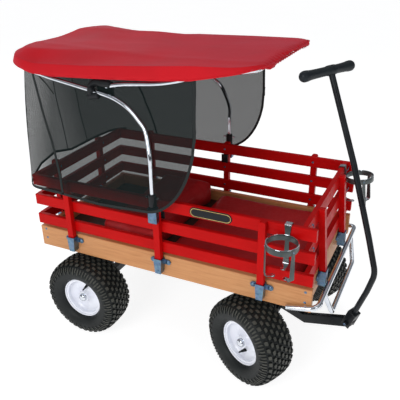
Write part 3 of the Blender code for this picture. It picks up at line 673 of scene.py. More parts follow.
def make_tyre_mesh():
    """Carcass with a smooth sidewall, and seven staggered rows of turf lugs with ribbed shoulders."""
    section = Section()
    outer = [(p.y, p.x) for p in section.points]
    inner = [(0.0728, 0.0365), (0.0645, 0.0345), (0.0640, 0.0)]
    half = outer + inner
    profile = half + [(r, -z) for r, z in reversed(half[1:-1])]
    carcass = revolve("tyre_carcass", profile, SIDEWALL, 96, closed=True)
    bm = bmesh.new()
    step = 2 * math.pi / LUGS_ROUND
    for k in range(LUGS_ROUND):
        for row in range(-3, 4):
            width = 0.0112
            mid = row * 0.0148
            offset = step * (0.5 if row % 2 else 0.0)
            slant = 0.014 if row % 2 else -0.014
            add_lug(bm, section, k * step + offset, step * 0.33, mid - width / 2, mid + width / 2, 2,
                    TREAD_DEPTH, slant)
        for side in (-1, 1):
            for half_step in (0, 1):
                end = 0.0690 if half_step else 0.0780
                add_lug(bm, section, k * step + half_step * step / 2, step * 0.15, side * 0.0530,
                        side * end, 5, 0.0024)
    lugs = bm_object("tyre_lugs", bm, SIDEWALL)
    lugs.data.materials.append(TREAD)
    tyre = join("tyre_shape", [carcass, lugs])
    soften(tyre.data, 32)
    return tyre


def make_rim_mesh():
    """Pressed steel rim: rolled lips, a deep smooth dish outside, the hub tube through its middle."""
    lip = [(0.0722, 0.0372), (0.0735, 0.0390), (0.0734, 0.0410), (0.0720, 0.0420), (0.0702, 0.0414)]
    dish = [(0.0684, 0.0380), (0.0668, 0.0320), (0.0638, 0.0245), (0.0590, 0.0185), (0.0520, 0.0148),
            (0.0430, 0.0135), (0.0340, 0.0145), (0.0265, 0.0175), (0.0215, 0.0225), (0.0190, 0.0280),
            (0.0185, 0.0340), (0.0086, 0.0340)]
    back = [(0.0086, -0.0350), (0.0190, -0.0350), (0.0190, 0.0100), (0.0330, 0.0085), (0.0440, 0.0085),
            (0.0540, 0.0110), (0.0600, 0.0150), (0.0605, -0.0380), (0.0680, -0.0400), (0.0702, -0.0414),
            (0.0720, -0.0420), (0.0734, -0.0410), (0.0735, -0.0390), (0.0722, -0.0372), (0.0632, -0.0360),
            (0.0632, 0.0360)]
    return revolve("rim_shape", lip + dish + back, WHITE, 96, closed=True)


def make_hub_cap_mesh():
    profile = [(0.0, 0.0460), (0.0050, 0.0457), (0.0090, 0.0446), (0.0120, 0.0425), (0.0138, 0.0395),
               (0.0143, 0.0360), (0.0143, 0.0345), (0.0176, 0.0338), (0.0180, 0.0300), (0.0, 0.0300)]
    return revolve("hub_cap_shape", profile, CHROME, 40)


def make_valve_mesh():
    profile = [(0.0, 0.030), (0.0022, 0.030), (0.0026, 0.028), (0.0026, 0.019), (0.0040, 0.018),
               (0.0046, 0.010), (0.0056, 0.003), (0.0060, -0.002), (0.0, -0.002)]
    return revolve("valve_shape", profile, PLASTIC, 16)


def make_wheels():
    shapes = {"tyre": make_tyre_mesh(), "rim": make_rim_mesh(), "hub_cap": make_hub_cap_mesh(),
              "valve_stem": make_valve_mesh()}
    valve_turn = {"front_right": -92, "rear_right": 78, "front_left": 40, "rear_left": 200}
    for end in ("front", "rear"):
        for side, sign in SIDES:
            spot = f"{end}_{side}"
            joint = JOINTS[f"{spot}_wheel_spin"]
            outward = Vector(joint["axis"]) * sign
            hub = aimed(Vector(joint["pos_m"]), outward)
            for kind, shape in shapes.items():
                piece = linked(f"{kind}_{spot}_piece", shape.data)
                matrix = hub
                if kind == "valve_stem":
                    spin = Matrix.Rotation(math.radians(valve_turn[spot]), 4, "Z")
                    matrix = hub @ spin @ Matrix.Translation((0.042, 0, 0.0130)) @ Matrix.Rotation(
                        math.radians(-12), 4, "Y")
                put(piece, f"{spot}_wheel", matrix)
                if kind in ("tyre", "rim"):
                    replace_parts(piece, f"{kind}_{spot}")
    for shape in shapes.values():
        bpy.data.objects.remove(shape, do_unlink=True)


# ---------------------------------------------------------------- tubes
def make_bows():
    arm = [(*BOW_LEG, 0.5065), (*BOW_LEG, 0.640), (*BOW_LEG, 0.696), (-0.014, 0.277, 0.742),
           (-0.028, 0.266, 0.780), (-0.052, 0.259, 0.804), (-0.081, 0.253, 0.828), (-0.115, 0.249, 0.846),
           (-0.160, BOW_HALF, 0.860), (-0.251, BOW_HALF, 0.876), (-0.358, 0.244, 0.893)]
    rear = fillet([(-0.358, 0.244, 0.893), (-0.510, 0.232, 0.920), (-0.516, 0.0, 0.924)], 0.100, 12)[1:]
    half = catmull(arm, 6) + rear
    path = [at(*p) for p in mirrored(half)]
    put(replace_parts(sweep("main_bow_tube", path, TUBE_RADIUS, CHROME, 20), "main_bow"), "canopy")
    px, pz = BOW_PIVOT
    front = [(px + 0.004, BOW_HALF, pz), (-0.100, BOW_HALF, 0.8975), (0.000, 0.245, 0.907),
             (0.060, 0.2435, 0.918), (0.110, 0.242, 0.932)]
    nose = fillet([(0.110, 0.242, 0.932), (0.200, 0.239, 0.9525), (0.283, 0.233, 0.9610),
                   (0.281, 0.0, 0.9625)], 0.075, 10)[1:]
    path = [at(*p) for p in mirrored(catmull(front, 6) + nose)]
    put(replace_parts(sweep("front_bow_tube", path, TUBE_RADIUS, CHROME, 20), "front_bow"), "visor")


def make_clamps():
    """Moulded pivots that join the two bows: a collar on each tube and a knuckle between them."""
    px, pz = BOW_PIVOT
    for side, sign in SIDES:
        y = sign * BOW_HALF
        hook = [(0.022, 0.006), (-0.006, 0.008), (-0.028, 0.009), (-0.044, 0.000), (-0.050, -0.018),
                (-0.044, -0.034)]
        route = catmull([at(px + run, y, pz + rise) for run, rise in hook], 5)
        bore = [at(px - 0.058, y, 0.8525), at(px - 0.022, y, 0.8590)]
        parts = [sweep("hook", route, 0.0105, PLASTIC, 20), sweep("collar", bore, 0.0112, PLASTIC, 24)]
        knob = revolve("knob", [(0.0, 0.012), (0.006, 0.0115), (0.0085, 0.009), (0.0090, 0.002),
                                (0.0095, 0.0), (0.0, 0.0)], PLASTIC, 20)
        knob.matrix_world = aimed(at(px - 0.040, y + sign * 0.009, pz - 0.010), (0, sign, 0))
        parts.append(knob)
        put(join(f"bow_pivot_{side}", parts), "canopy")


def make_bumper():
    corner = Vector((0.4945, 0.2648, 0.326))
    half = [(0.404, corner.y, 0.3065), corner, (corner.x, 0.0, corner.z)]
    path = [at(*p) for p in mirrored(fillet(half, 0.030, 10))]
    main = sweep("bumper_main", path, BUMPER_RADIUS, CHROME, 20)
    half = [(corner.x, 0.185, corner.z - 0.002), (0.515, 0.150, 0.243), (0.515, 0.0, 0.243)]
    path = [at(*p) for p in mirrored(fillet(half, 0.018, 10))]
    loop = sweep("bumper_low", path, BUMPER_RADIUS * 0.95, CHROME, 20)
    tube = join("bumper_tube", [main, loop])
    put(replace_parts(tube, "bumper"), "tray")


def handle_frame():
    """The handle's plane: origin on the tongue's pivot, x ahead along the tongue, z up."""
    steer = Vector(JOINTS["tongue_steer"]["pos_m"])
    tilt = JOINTS["handle_tilt"]
    across = Vector(tilt["axis"])
    ahead = across.cross(Vector((0, 0, 1)))
    origin = Vector((steer.x, steer.y, 0))
    turn = Matrix((ahead, across, Vector((0, 0, 1)))).transposed().to_4x4()
    return Matrix.Translation(origin) @ turn, Vector(tilt["pos_m"])


def make_handle():
    plane, pin = handle_frame()
    px, pz = (plane.inverted() @ pin).x, pin.z
    path = [Vector((x, 0, z)) for x, z in ((0.280, 0.230), (0.316, 0.334), (0.334, 0.402), (0.299, 0.503),
                                           (0.224, 0.701), (0.120, 0.938))]
    lean = (path[1] - path[0]).normalized()
    foot = Vector((px, 0, pz))
    path[0] = foot + lean * 0.030
    final = (path[-1] - path[-2]).normalized()
    path[-1] = path[-1] - final * 0.010
    route = fillet(path, 0.075, 12)
    tube = sweep("tube", [plane @ p for p in route], 0.0085, BLACK, 24)
    tilt = math.atan2(lean.x, lean.z)
    stand = plane @ Matrix.Translation(foot) @ Matrix.Rotation(tilt, 4, "Y")
    parts = [tube]
    for sign in (1, -1):
        cheek = soft_box("cheek", (-0.014, sign * 0.0132 - 0.0025, -0.014),
                         (0.014, sign * 0.0132 + 0.0025, 0.046), 0.002, BLACK)
        cheek.matrix_world = stand
        parts.append(cheek)
    web = soft_box("web", (-0.014, -0.0135, 0.020), (0.014, 0.0135, 0.046), 0.002, BLACK)
    web.matrix_world = stand
    parts.append(web)
    handle = join("pull_handle_tube", parts)
    put(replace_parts(handle, "pull_handle"), "handle")
    bolt = [plane @ (foot + Vector((0, y, 0))) for y in (-0.024, 0.024)]
    pin_piece = sweep("handle_pin", bolt, 0.0048, ZINC, 16)
    nuts = []
    for sign in (1, -1):
        nut = revolve("nut", [(0.0, 0.0075), (0.0078, 0.0070), (0.0088, 0.0060), (0.0088, 0.0), (0.0, 0.0)],
                      BLACK, 6)
        nut.matrix_world = aimed(plane @ (foot + Vector((0, sign * 0.0160, 0))),
                                 plane.to_3x3() @ Vector((0, sign, 0)))
        nuts.append(nut)
    put(join("handle_hinge_bolt", [pin_piece] + nuts), "handle")
    grip_at = plane @ Vector((0.120, 0, 0.938))
    grips = []
    for sign, length in ((-1, 0.120), (1, 0.095)):
        end = 0.0148
        dome = [(end * math.sin(math.radians(a)), length - end + end * math.cos(math.radians(a)))
                for a in range(0, 91, 15)]
        waist = [(0.0146, length - 0.024), (0.0132, length - 0.034), (0.0124, length - 0.060),
                 (0.0122, 0.020), (0.0136, 0.014), (0.0140, 0.010), (0.0140, -0.001), (0.0, -0.001)]
        grip = revolve("grip_half", dome + waist, GRIP, 40)
        grip.matrix_world = aimed(grip_at, plane.to_3x3() @ Vector((0, sign, 0)))
        grips.append(grip)
    grip = join("t_grip_moulding", grips)
    put(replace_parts(grip, "t_grip"), "handle")


# ---------------------------------------------------------------- hardware
def dome_bolt():
    """Carriage bolt: a shallow dome on a washer."""
    return revolve("dome_bolt", [(0.0, 0.0050), (0.0030, 0.0047), (0.0055, 0.0037), (0.0070, 0.0021),
                                 (0.0074, 0.0012), (0.0088, 0.0011), (0.0089, 0.0), (0.0, 0.0)], ZINC, 28)


def wood_screw():
    """Countersunk screw head with a shallow cross recess."""
    return revolve("wood_screw", [(0.0, 0.0006), (0.0036, 0.0006), (0.0042, 0.0), (0.0042, -0.0004),
                                  (0.0, -0.0004)], ZINC, 20)


def hex_bolt():
    return revolve("hex_bolt", [(0.0, 0.0062), (0.0062, 0.0060), (0.0072, 0.0050), (0.0072, 0.0014),
                                (0.0, 0.0014)], BLACK, 6)


def make_bracket_bolts():
    shape = dome_bolt()
    spread = 0.0265
    bolt_z = 0.3535
    plate = 0.0031
    for name in sorted(n for n in NODES if n.startswith("bracket_")):
        low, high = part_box(name)
        mid = (low + high) / 2
        if "gate" in name:
            outward = Vector((1 if "front" in name else -1, 0, 0))
            run = Vector((0, 1, 0))
            face = low.x + plate if outward.x > 0 else high.x - plate
            base = Vector((face, mid.y, bolt_z))
        else:
            outward = Vector((0, 1 if "left" in name else -1, 0))
            run = Vector((1, 0, 0))
            face = low.y + plate if outward.y > 0 else high.y - plate
            base = Vector((mid.x, face, bolt_z))
        for index, sign in enumerate((-1, 1)):
            piece = linked(f"bolt_{name}_{index}", shape.data)
            put(piece, "tray", aimed(base + run * spread * sign, outward))
    bpy.data.objects.remove(shape, do_unlink=True)


def gate_face(end, z):
    """Station of the outer face of a gate's slats at a height."""
    if end == "rear":
        return -0.480
    return GATE_FOOT - max(z - GATE_BEND_Z, 0.0) * math.tan(GATE_LEAN)


def make_screws():
    """Screws at the ends of the side boards, and through each rail into its posts."""
    shape = wood_screw()
    for side, sign in SIDES:
        for index, x in enumerate((0.4555, -0.4580)):
            for level, z in (("low", 0.331), ("high", 0.3655)):
                piece = linked(f"board_screw_{side}_{index}_{level}", shape.data)
                put(piece, "tray", aimed(at(x, sign * TRAY_HALF, z), (0, sign, 0)))
        for level in ("lower", "middle", "upper"):
            low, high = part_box(f"{side}_rail_{level}")
            inner = low.y if sign > 0 else high.y
            for spot in ("rear", "middle", "front"):
                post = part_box(f"{side}_post_{spot}")
                x = (post[0].x + post[1].x) / 2
                piece = linked(f"rail_screw_{side}_{level}_{spot}", shape.data)
                place = Vector((x, inner, (low.z + high.z) / 2))
                put(piece, f"{side}_rack", aimed(place, (0, -sign, 0)))
    for end, sign in (("front", 1), ("rear", -1)):
        lean = GATE_LEAN if sign > 0 else 0.0
        for level, rail in enumerate(("lower", "middle", "upper")):
            rail_low, rail_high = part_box(f"left_rail_{rail}")
            z = (rail_low.z + rail_high.z) / 2
            inner = gate_face(end, z) - sign * RAIL_THICK
            for side, y in (("left", 0.128), ("right", -0.128)):
                piece = linked(f"gate_screw_{end}_{level}_{side}", shape.data)
                put(piece, f"{end}_gate_panel",
                    aimed(at(inner, y, z), (-sign * math.cos(lean), 0, -sign * math.sin(lean))))
    bpy.data.objects.remove(shape, do_unlink=True)


def make_axle_bolts():
    """Kingpin, tongue and tie rod bolts, with their heads above and below."""
    shape = hex_bolt()
    spots = []
    for side, _ in SIDES:
        pin = Vector(JOINTS[f"{side}_knuckle_steer"]["pos_m"])
        spots.append((f"kingpin_{side}_upper", "tray", Vector((pin.x, pin.y, 0.1825 - 0.0014)), 1))
        spots.append((f"kingpin_{side}_lower", "tray", Vector((pin.x, pin.y, 0.1015 + 0.0014)), -1))
    tongue = Vector(JOINTS["tongue_steer"]["pos_m"])
    spots.append(("tongue_bolt_lower", "tongue_bar", Vector((tongue.x, tongue.y, 0.1014)), -1))
    rod = Vector(JOINTS["tie_rod_pivot"]["pos_m"])
    half = JOINTS["left_knuckle_steer"]["pos_m"][1]
    for name, shift in (("middle", 0.0), ("left", half), ("right", -half)):
        spots.append((f"tie_rod_nut_{name}", "tie_rod_bar", Vector((rod.x, rod.y + shift, 0.1436)), 1))
    for name, body, place, up in spots:
        put(linked(name, shape.data), body, aimed(place, (0, 0, up), (1, 0, 0)))
    bpy.data.objects.remove(shape, do_unlink=True)


CUP_OUT = 0.0485             # from the rail's outer face to the ring's middle
HIGHLIGHT_SLOPE = 0.55            # faces whose normals point further up than this get chrome: a painted highlight on the tops


def make_cup_holders():
    """One hangs over the right rack's top rail, the other over the leaning front gate's."""
    stand = at(0.396, -RACK_FACE - CUP_OUT, RAIL_TOP)
    make_cup_holder("right", Matrix.Translation(stand) @ Matrix.Rotation(math.radians(90), 4, "Z"))
    face = gate_face("front", RAIL_TOP)
    lift = (CUP_OUT + RAIL_THICK) * math.sin(GATE_LEAN)
    stand = at(face + CUP_OUT * math.cos(GATE_LEAN), 0.204, RAIL_TOP + lift)
    turn = Matrix.Rotation(math.radians(180), 4, "Z") @ Matrix.Rotation(GATE_LEAN, 4, "Y")
    make_cup_holder("front", Matrix.Translation(stand) @ turn)


def make_cup_holder(spot, hanger):
    """Ring of flat strap, hook strap over the rail, three J straps with rounded feet; chrome on the
    up-facing faces as a painted highlight.

    hanger stands level with the rail's top edge over the ring's middle, local +X towards the rail.
    """
    low, top = -0.0440, -0.0260
    radius = 0.045
    thick = 0.003
    ring = revolve("ring", [(radius - 0.0004, top), (radius, top - 0.0006), (radius, low + 0.0006),
                            (radius - 0.0004, low), (radius - 0.0026, low), (radius - 0.003, low + 0.0006),
                            (radius - 0.003, top - 0.0006), (radius - 0.0026, top)], GREY, 72, closed=True)
    ring.matrix_world = hanger
    parts = [ring]

    def bent(name, points, reach, width, angle):
        spin = hanger @ Matrix.Rotation(math.radians(angle), 4, "Z")
        route = fillet([Vector((px, 0, pz)) for px, pz in points], reach, 5)
        across = spin.to_3x3() @ Vector((0, 1, 0))
        parts.append(strap(name, [spin @ p for p in route], width, thick, GREY, across))

    face = radius + 0.001
    over = 0.0012 + thick / 2
    inside = CUP_OUT + RAIL_THICK + over
    bent("hook", [(face, low), (face, over), (inside, over), (inside, over - 0.029)], 0.004, 0.018, 0.0)
    for angle, foot, width in ((0.0, -0.1195, 0.016), (118.0, -0.1255, 0.015), (-122.0, -0.1255, 0.015)):
        out = radius - 0.0005 if angle else face
        bend = [(out, top - 0.002), (out, foot + 0.002), (out - 0.022, foot - 0.002)]
        bent("leg", bend, 0.008, width, angle)
        pad = revolve("foot_pad", [(0.0, 0.0016), (0.0070, 0.0016), (0.0082, 0.0008), (0.0082, -0.0010),
                                   (0.0070, -0.0016), (0.0, -0.0016)], GREY, 28)
        pad.matrix_world = hanger @ Matrix.Rotation(math.radians(angle), 4, "Z") @ Matrix.Translation(
            (out - 0.022, 0, foot - 0.0018))
        parts.append(pad)
    for angle in (118.0, -122.0, 14.0, -14.0):
        rivet = revolve("rivet", [(0.0, 0.0020), (0.0018, 0.0016), (0.0026, 0.0), (0.0, 0.0)], ZINC, 16)
        rivet.matrix_world = hanger @ Matrix.Rotation(math.radians(angle), 4, "Z") @ Matrix.Translation(
            (radius + 0.0008, 0, (low + top) / 2)) @ Matrix.Rotation(math.radians(90), 4, "Y")
        parts.append(rivet)
    # Painted highlight: faces turned up get polished chrome so the tops shine bright.
    for part in parts:
        part.data.materials.append(CHROME)
        for face in part.data.polygons:
            if (part.matrix_world.to_3x3() @ face.normal).z > HIGHLIGHT_SLOPE:
                face.material_index = 1
    holder = join(f"cup_holder_{spot}_straps", parts)
    put(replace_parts(holder, f"cup_holder_{spot}"), f"{spot}_cup_holder")


def make_socket_clamps():
    """Black clamp collar with two thumb screws above each canopy socket, and a black plate inside the rack
    under the top rail as painted shade.
    """
    for side, sign in SIDES:
        x, y = BOW_LEG[0], sign * BOW_LEG[1]
        parts = [sweep("collar", [at(x, y, 0.5560), at(x, y, 0.5960)], 0.0118, PLASTIC, 24)]
        for shift in (-1, 1):
            knob = revolve("thumb_screw", [(0.0, 0.011), (0.0034, 0.0105), (0.0042, 0.008), (0.0042, 0.004),
                                           (0.0022, 0.0035), (0.0022, 0.0), (0.0, 0.0)], CHROME, 16)
            knob.matrix_world = aimed(at(x + shift * 0.0112, y, 0.5850), (shift, 0, 0))
            parts.append(knob)
        put(join(f"socket_clamp_{side}", parts), "canopy")
        # Painted shade: a black plate on the rack's inner face below the top rail, darkening the post
        # between the rails.
        inner = sign * (RACK_FACE - 0.014)
        shade_plate = soft_box("shade_plate", at(x - 0.0125, min(inner, inner - sign * 0.004), 0.497),
                        at(x + 0.0125, max(inner, inner - sign * 0.004), 0.5300), 0.0015, PLASTIC)
        put(join(f"socket_shade_plate_{side}", [shade_plate]), f"{side}_rack")


def make_name_plate():
    """A plain oval plate with a gold border line, and no lettering."""
    mid = Vector((at(0.168, 0, 0).x, -RACK_FACE, 0.5495))

    def stadium(name, half_long, half_high, depth, lift, material, hole=0.0):
        bm = bmesh.new()
        outline = []
        for k in range(33):
            a = math.radians(-90 + 180 * k / 32)
            outline.append((half_long - half_high + half_high * math.cos(a), half_high * math.sin(a)))
        outline += [(-px, -pz) for px, pz in outline]
        if hole:
            shrink = [(px - math.copysign(hole, px), pz * (1 - hole / half_high)) for px, pz in outline]
            rings = [[bm.verts.new((px, -lift - d, pz)) for px, pz in shape]
                     for shape, d in ((outline, 0.0), (outline, depth), (shrink, depth), (shrink, 0.0))]
            count = len(outline)
            for a, b in zip(rings, rings[1:] + rings[:1]):
                for k in range(count):
                    n = (k + 1) % count
                    bm.faces.new((a[k], a[n], b[n], b[k]))
        else:
            back = [bm.verts.new((px, -lift, pz)) for px, pz in outline]
            front = [bm.verts.new((px * 0.992, -lift - depth, pz * 0.97)) for px, pz in outline]
            bm.faces.new(back)
            bm.faces.new(front[::-1])
            for k in range(len(outline)):
                n = (k + 1) % len(outline)
                bm.faces.new((back[k], back[n], front[n], front[k]))
        return bm_object(name, bm, material)

    plate = stadium("plate", 0.0665, 0.0160, 0.0016, 0.0, BLACK)
    border = stadium("border", 0.0630, 0.0132, 0.0005, 0.0015, GOLD, 0.0016)
    parts = [plate, border]
    piece = join("oval_plate", parts)
    put(piece, "right_rack", Matrix.Translation(mid))


def make_gate_hooks():
    """Wire hooks from the gate's slats into an eye on each side rail."""
    for end, sign_x in (("front", 1), ("rear", -1)):
        for side, sign in SIDES:
            for level in ("upper", "middle"):
                low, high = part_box(f"{side}_rail_{level}")
                z = (low.z + high.z) / 2 + 0.004
                face = gate_face(end, z)
                inner = RACK_FACE - RAIL_THICK
                x = face + sign_x * 0.004
                path = catmull([at(x, sign * (inner - 0.042), z),
                                at(x + sign_x * 0.003, sign * (inner - 0.028), z),
                                at(x + sign_x * 0.003, sign * (inner - 0.010), z + 0.002),
                                at(x + sign_x * 0.001, sign * (inner - 0.003), z + 0.001)], 6)
                hook = sweep("wire", path, 0.0013, ZINC, 10)
                eye = revolve("eye", [(0.0, 0.0030), (0.0026, 0.0024), (0.0034, 0.0), (0.0, 0.0)], ZINC, 16)
                eye.matrix_world = aimed(at(face, sign * (inner - 0.042), z), (sign_x, 0, 0))
                put(join(f"gate_hook_{end}_{side}_{level}", [hook, eye]), f"{end}_gate_panel")


# ---------------------------------------------------------------- cushions
def puffed(name, low, high, node, cap, swell, material):
    """A stuffed pad: a rounded slab inflated as cloth, its swelling capped, and flat where it lies."""
    inset = swell
    bm = bmesh.new()
    size = [high[0] - low[0] - 2 * inset, high[1] - low[1] - 2 * inset, (high[2] - low[2]) * 0.78]
    centre = [(low[0] + high[0]) / 2, (low[1] + high[1]) / 2, low[2] + size[2] / 2]
    bmesh.ops.create_cube(bm, size=1.0, matrix=Matrix.Translation(centre) @ Matrix.Diagonal((*size, 1.0)))
    bmesh.ops.bevel(bm, geom=list(bm.edges), offset=min(size[2] * 0.28, 0.016), segments=3, affect="EDGES",
                    profile=0.5)
    obj = bm_object(name, bm, material)
    remesh = obj.modifiers.new("voxels", "REMESH")
    remesh.mode = "VOXEL"
    remesh.voxel_size = 0.0065
    bake(obj)
    rest = np.array([v.co for v in obj.data.vertices])
    cloth = obj.modifiers.new("cloth", "CLOTH")
    cloth.settings.quality = 6
    cloth.settings.use_pressure = True
    cloth.settings.uniform_pressure_force = 4.0
    cloth.settings.effector_weights.gravity = 0.0
    cloth.point_cache.frame_start = 1
    cloth.point_cache.frame_end = 20
    for step in range(1, 21):
        bpy.context.scene.frame_set(step)
    bake(obj)
    bpy.context.scene.frame_set(1)
    moved = np.array([v.co for v in obj.data.vertices])
    shift = moved - rest
    length = np.linalg.norm(shift, axis=1, keepdims=True)
    shift *= np.minimum(1.0, cap / np.maximum(length, 1e-9))
    moved = rest + shift
    moved[:, 0] = np.clip(moved[:, 0], low[0] + 0.001, high[0] - 0.001)
    moved[:, 1] = np.clip(moved[:, 1], low[1] + 0.001, high[1] - 0.001)
    moved[:, 2] = np.clip(moved[:, 2], low[2] + 0.0005, high[2] + 0.004)
    obj.data.vertices.foreach_set("co", moved.astype(np.float32).ravel())
    smooth = obj.modifiers.new("smooth", "SMOOTH")
    smooth.factor = 0.5
    smooth.iterations = 6
    bake(obj)
    obj.data.shade_smooth()
    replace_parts(obj, node)
    put(obj, "tray")
    return obj


def bake(obj):
    """Applies an object's modifiers to its mesh."""
    bpy.context.view_layer.update()
    graph = bpy.context.evaluated_depsgraph_get()
    mesh = bpy.data.meshes.new_from_object(obj.evaluated_get(graph))
    old = obj.data
    obj.modifiers.clear()
    obj.data = mesh
    bpy.data.meshes.remove(old)


def make_cushions():
    for name, node, cap, swell, fill in (("seat_cushion_pad", "seat_cushion", 0.014, 0.010, 0.8),
                                         ("floor_mat_pad", "floor_mat", 0.010, 0.008, 0.55)):
        low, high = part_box(node)
        puffed(name, low, high, node, cap, swell, VINYL)


# ---------------------------------------------------------------- canopy cloth
CANOPY_REAR = -0.552
CANOPY_FRONT = 0.306
CANOPY_HALF = 0.2545
CANOPY_CORNER = 0.120
FRONT_CORNER = 0.095
BAND = 0.0075               # the steep band between the lower fold and the hem
HEM = ((-0.552, 0.934), (-0.539, 0.928), (-0.457, 0.914), (-0.425, 0.905), (-0.350, 0.901), (-0.172, 0.908),
       (-0.009, 0.917), (0.111, 0.927), (0.223, 0.950), (0.306, 0.968))
LOWER_FOLD = ((-0.552, 0.953), (-0.413, 0.931), (-0.242, 0.937), (-0.042, 0.951), (0.100, 0.962),
              (0.220, 0.967), (0.306, 0.974))
UPPER_FOLD = ((-0.552, 0.965), (-0.170, 0.964), (0.100, 0.967), (0.306, 0.976))
FAR_LIFT = ((-0.552, 0.012), (-0.450, 0.017), (-0.300, 0.014), (-0.100, 0.012), (0.100, 0.001),
            (0.306, -0.006))
SHOULDER = ((-0.516, 0.199), (-0.369, 0.172), (-0.239, 0.149), (-0.044, 0.112), (0.079, 0.122),
            (0.187, 0.130), (0.284, 0.172))


def canopy_half(x):
    """Half width of the canopy's outline: rounded corners at the back, smaller ones at the front."""
    rear = CANOPY_REAR + CANOPY_CORNER
    front = CANOPY_FRONT - FRONT_CORNER
    if x < rear:
        return CANOPY_HALF - CANOPY_CORNER + math.sqrt(max(CANOPY_CORNER ** 2 - (rear - x) ** 2, 0.0))
    if x > front:
        return CANOPY_HALF - FRONT_CORNER + math.sqrt(max(FRONT_CORNER ** 2 - (x - front) ** 2, 0.0))
    return CANOPY_HALF


def canopy_inset(x, y):
    """Distance from the canopy's outline, with its rounded rear corners."""
    corner_x = CANOPY_REAR + CANOPY_CORNER
    corner_y = CANOPY_HALF - CANOPY_CORNER
    if x < corner_x and abs(y) > corner_y:
        return CANOPY_CORNER - math.hypot(x - corner_x, abs(y) - corner_y)
    return min(canopy_half(x) - abs(y), x - CANOPY_REAR)


def canopy_height(x, y):
    """Height of the cloth: a flat crown, a facet sloping to the lower fold, a steep band to the hem."""
    inset = max(canopy_inset(x, y), 0.0)
    hem = along(HEM, x)
    lift = along(FAR_LIFT, x) * smoothstep((y + 0.02) / 0.17)
    low = along(LOWER_FOLD, x) + lift
    high = along(UPPER_FOLD, x) + 0.8 * lift
    if inset < BAND:
        share = inset / BAND
        return hem + (low - hem) * (1.25 * share - 0.25 * share ** 2)
    slope = CANOPY_HALF - BAND - along(SHOULDER, x)
    slope = 0.032 + (slope - 0.032) * smoothstep((x - CANOPY_REAR - 0.010) / 0.150)
    share = min((inset - BAND) / slope, 1.0)
    crown = 0.004 * min(max(inset - BAND - slope, 0.0) / 0.1, 1.0)
    return low + (high - low) * (0.72 * share + 0.28 * smoothstep(share)) + crown


def make_canopy():
    """One continuous sheet over both bows, hemmed along its sides and front and gathered along its front
    edge.
    """
    rows = 104
    columns = 72
    verts = []
    uvs = []
    for i in range(rows + 1):
        t = i / rows
        ease = 0.5 - 0.5 * math.cos(math.pi * t)
        x = CANOPY_REAR + (CANOPY_FRONT - CANOPY_REAR) * (0.35 * t + 0.65 * ease)
        half = canopy_half(x)
        for j in range(columns + 1):
            u = 2 * j / columns - 1
            v = math.copysign(1 - (1 - abs(u)) ** 1.35, u)
            y = v * half
            z = canopy_height(x, y)
            edge_front = smoothstep((x - CANOPY_FRONT + 0.030) / 0.030)
            z -= 0.009 * edge_front ** 2
            gather = edge_front * 0.0022 * math.sin(y * 310) + edge_front * 0.0012 * math.sin(y * 530 + 1.0)
            side = smoothstep((abs(v) - 0.90) / 0.10)
            ripple = side * 0.0012 * math.sin(x * 46) * smoothstep((0.2 - x) / 0.3)
            crease = 0.0016 * math.exp(-((abs(y) - 0.155 - 0.10 * (x + 0.1)) / 0.018) ** 2)
            calm = smoothstep(canopy_inset(x, y) / 0.05)
            sag = -0.003 * math.exp(-((x + 0.33) / 0.10) ** 2) * (1 - abs(v) ** 2)
            z += gather + (crease + sag + 0.0010 * math.sin(x * 31 + 9 * y)) * calm
            verts.append(at(x + gather * 0.6, y + math.copysign(ripple, v), z))
            uvs.append((x, y))
    faces = []
    for i in range(rows):
        for j in range(columns):
            a = i * (columns + 1) + j
            faces.append((a, a + columns + 1, a + columns + 2, a + 1))
    sheet = mesh_object("canopy_sheet", verts, faces, NYLON)
    add_uvs(sheet, uvs)
    sheet.data.flip_normals()
    hem = canopy_hem()
    thick = sheet.modifiers.new("cloth", "SOLIDIFY")
    thick.thickness = 0.0012
    thick.offset = -1
    bake(sheet)
    sheet.data.shade_smooth()
    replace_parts(sheet, "canopy_rear", "canopy_front")
    for piece in (sheet, hem):
        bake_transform(piece)
    return sheet, hem


def add_uvs(obj, uvs):
    layer = obj.data.uv_layers.new(name="cloth")
    for loop in obj.data.loops:
        layer.data[loop.index].uv = uvs[loop.vertex_index]


def canopy_hem():
    """The folded hem: a soft roll along the lower edge, with the elastic's ripples at the front."""
    edge = []
    for k in range(180):
        t = k / 179
        x = CANOPY_REAR + 0.004 + (CANOPY_FRONT - 0.004 - CANOPY_REAR) * t
        half = canopy_half(x)
        edge.append(Vector((x, half, along(HEM, x))))
    front = []
    last = edge[-1]
    for k in range(1, 60):
        y = last.y * (1 - k / 30)
        wobble = 0.0016 * math.sin(y * 310)
        front.append(Vector((CANOPY_FRONT - 0.001, y, last.z - 0.004 + wobble)))
    path = edge + front + [Vector((p.x, -p.y, p.z)) for p in reversed(edge)]
    return sweep("canopy_hem_roll", [at(p.x, p.y, p.z + 0.001) for p in path], 0.0021, NYLON, 10)


# ---------------------------------------------------------------- mesh curtain
SIDE_FOOT = ((-0.460, 0.547), (-0.340, 0.543), (-0.187, 0.533), (-0.030, 0.540))
REAR_FOOT = ((-0.260, 0.548), (-0.240, 0.560), (-0.200, 0.583), (-0.124, 0.597), (-0.038, 0.578),
             (0.110, 0.577), (0.200, 0.572), (0.266, 0.562))


def curtain_shape(flare, side):
    """(half width, back, corner radius, front edge) of the curtain's plan; flare 1 is its lower edge."""
    front = 0.140 - 0.008 * flare if side > 0 else 0.117 + 0.019 * flare
    return 0.238 + 0.061 * flare, -0.524 + 0.040 * flare, 0.110 - 0.045 * flare, front


def curtain_flare(z):
    """How far the curtain has spread at a height: evenly from its hem to its lower edge."""
    return min(max((0.900 - z) / 0.345, 0.0), 1.0)


def curtain_length(flare, side):
    """Half the run round the plan, from a front edge to the middle of the back."""
    half, back, corner, front = curtain_shape(flare, side)
    return front - back - corner + corner * math.pi / 2 + half - corner


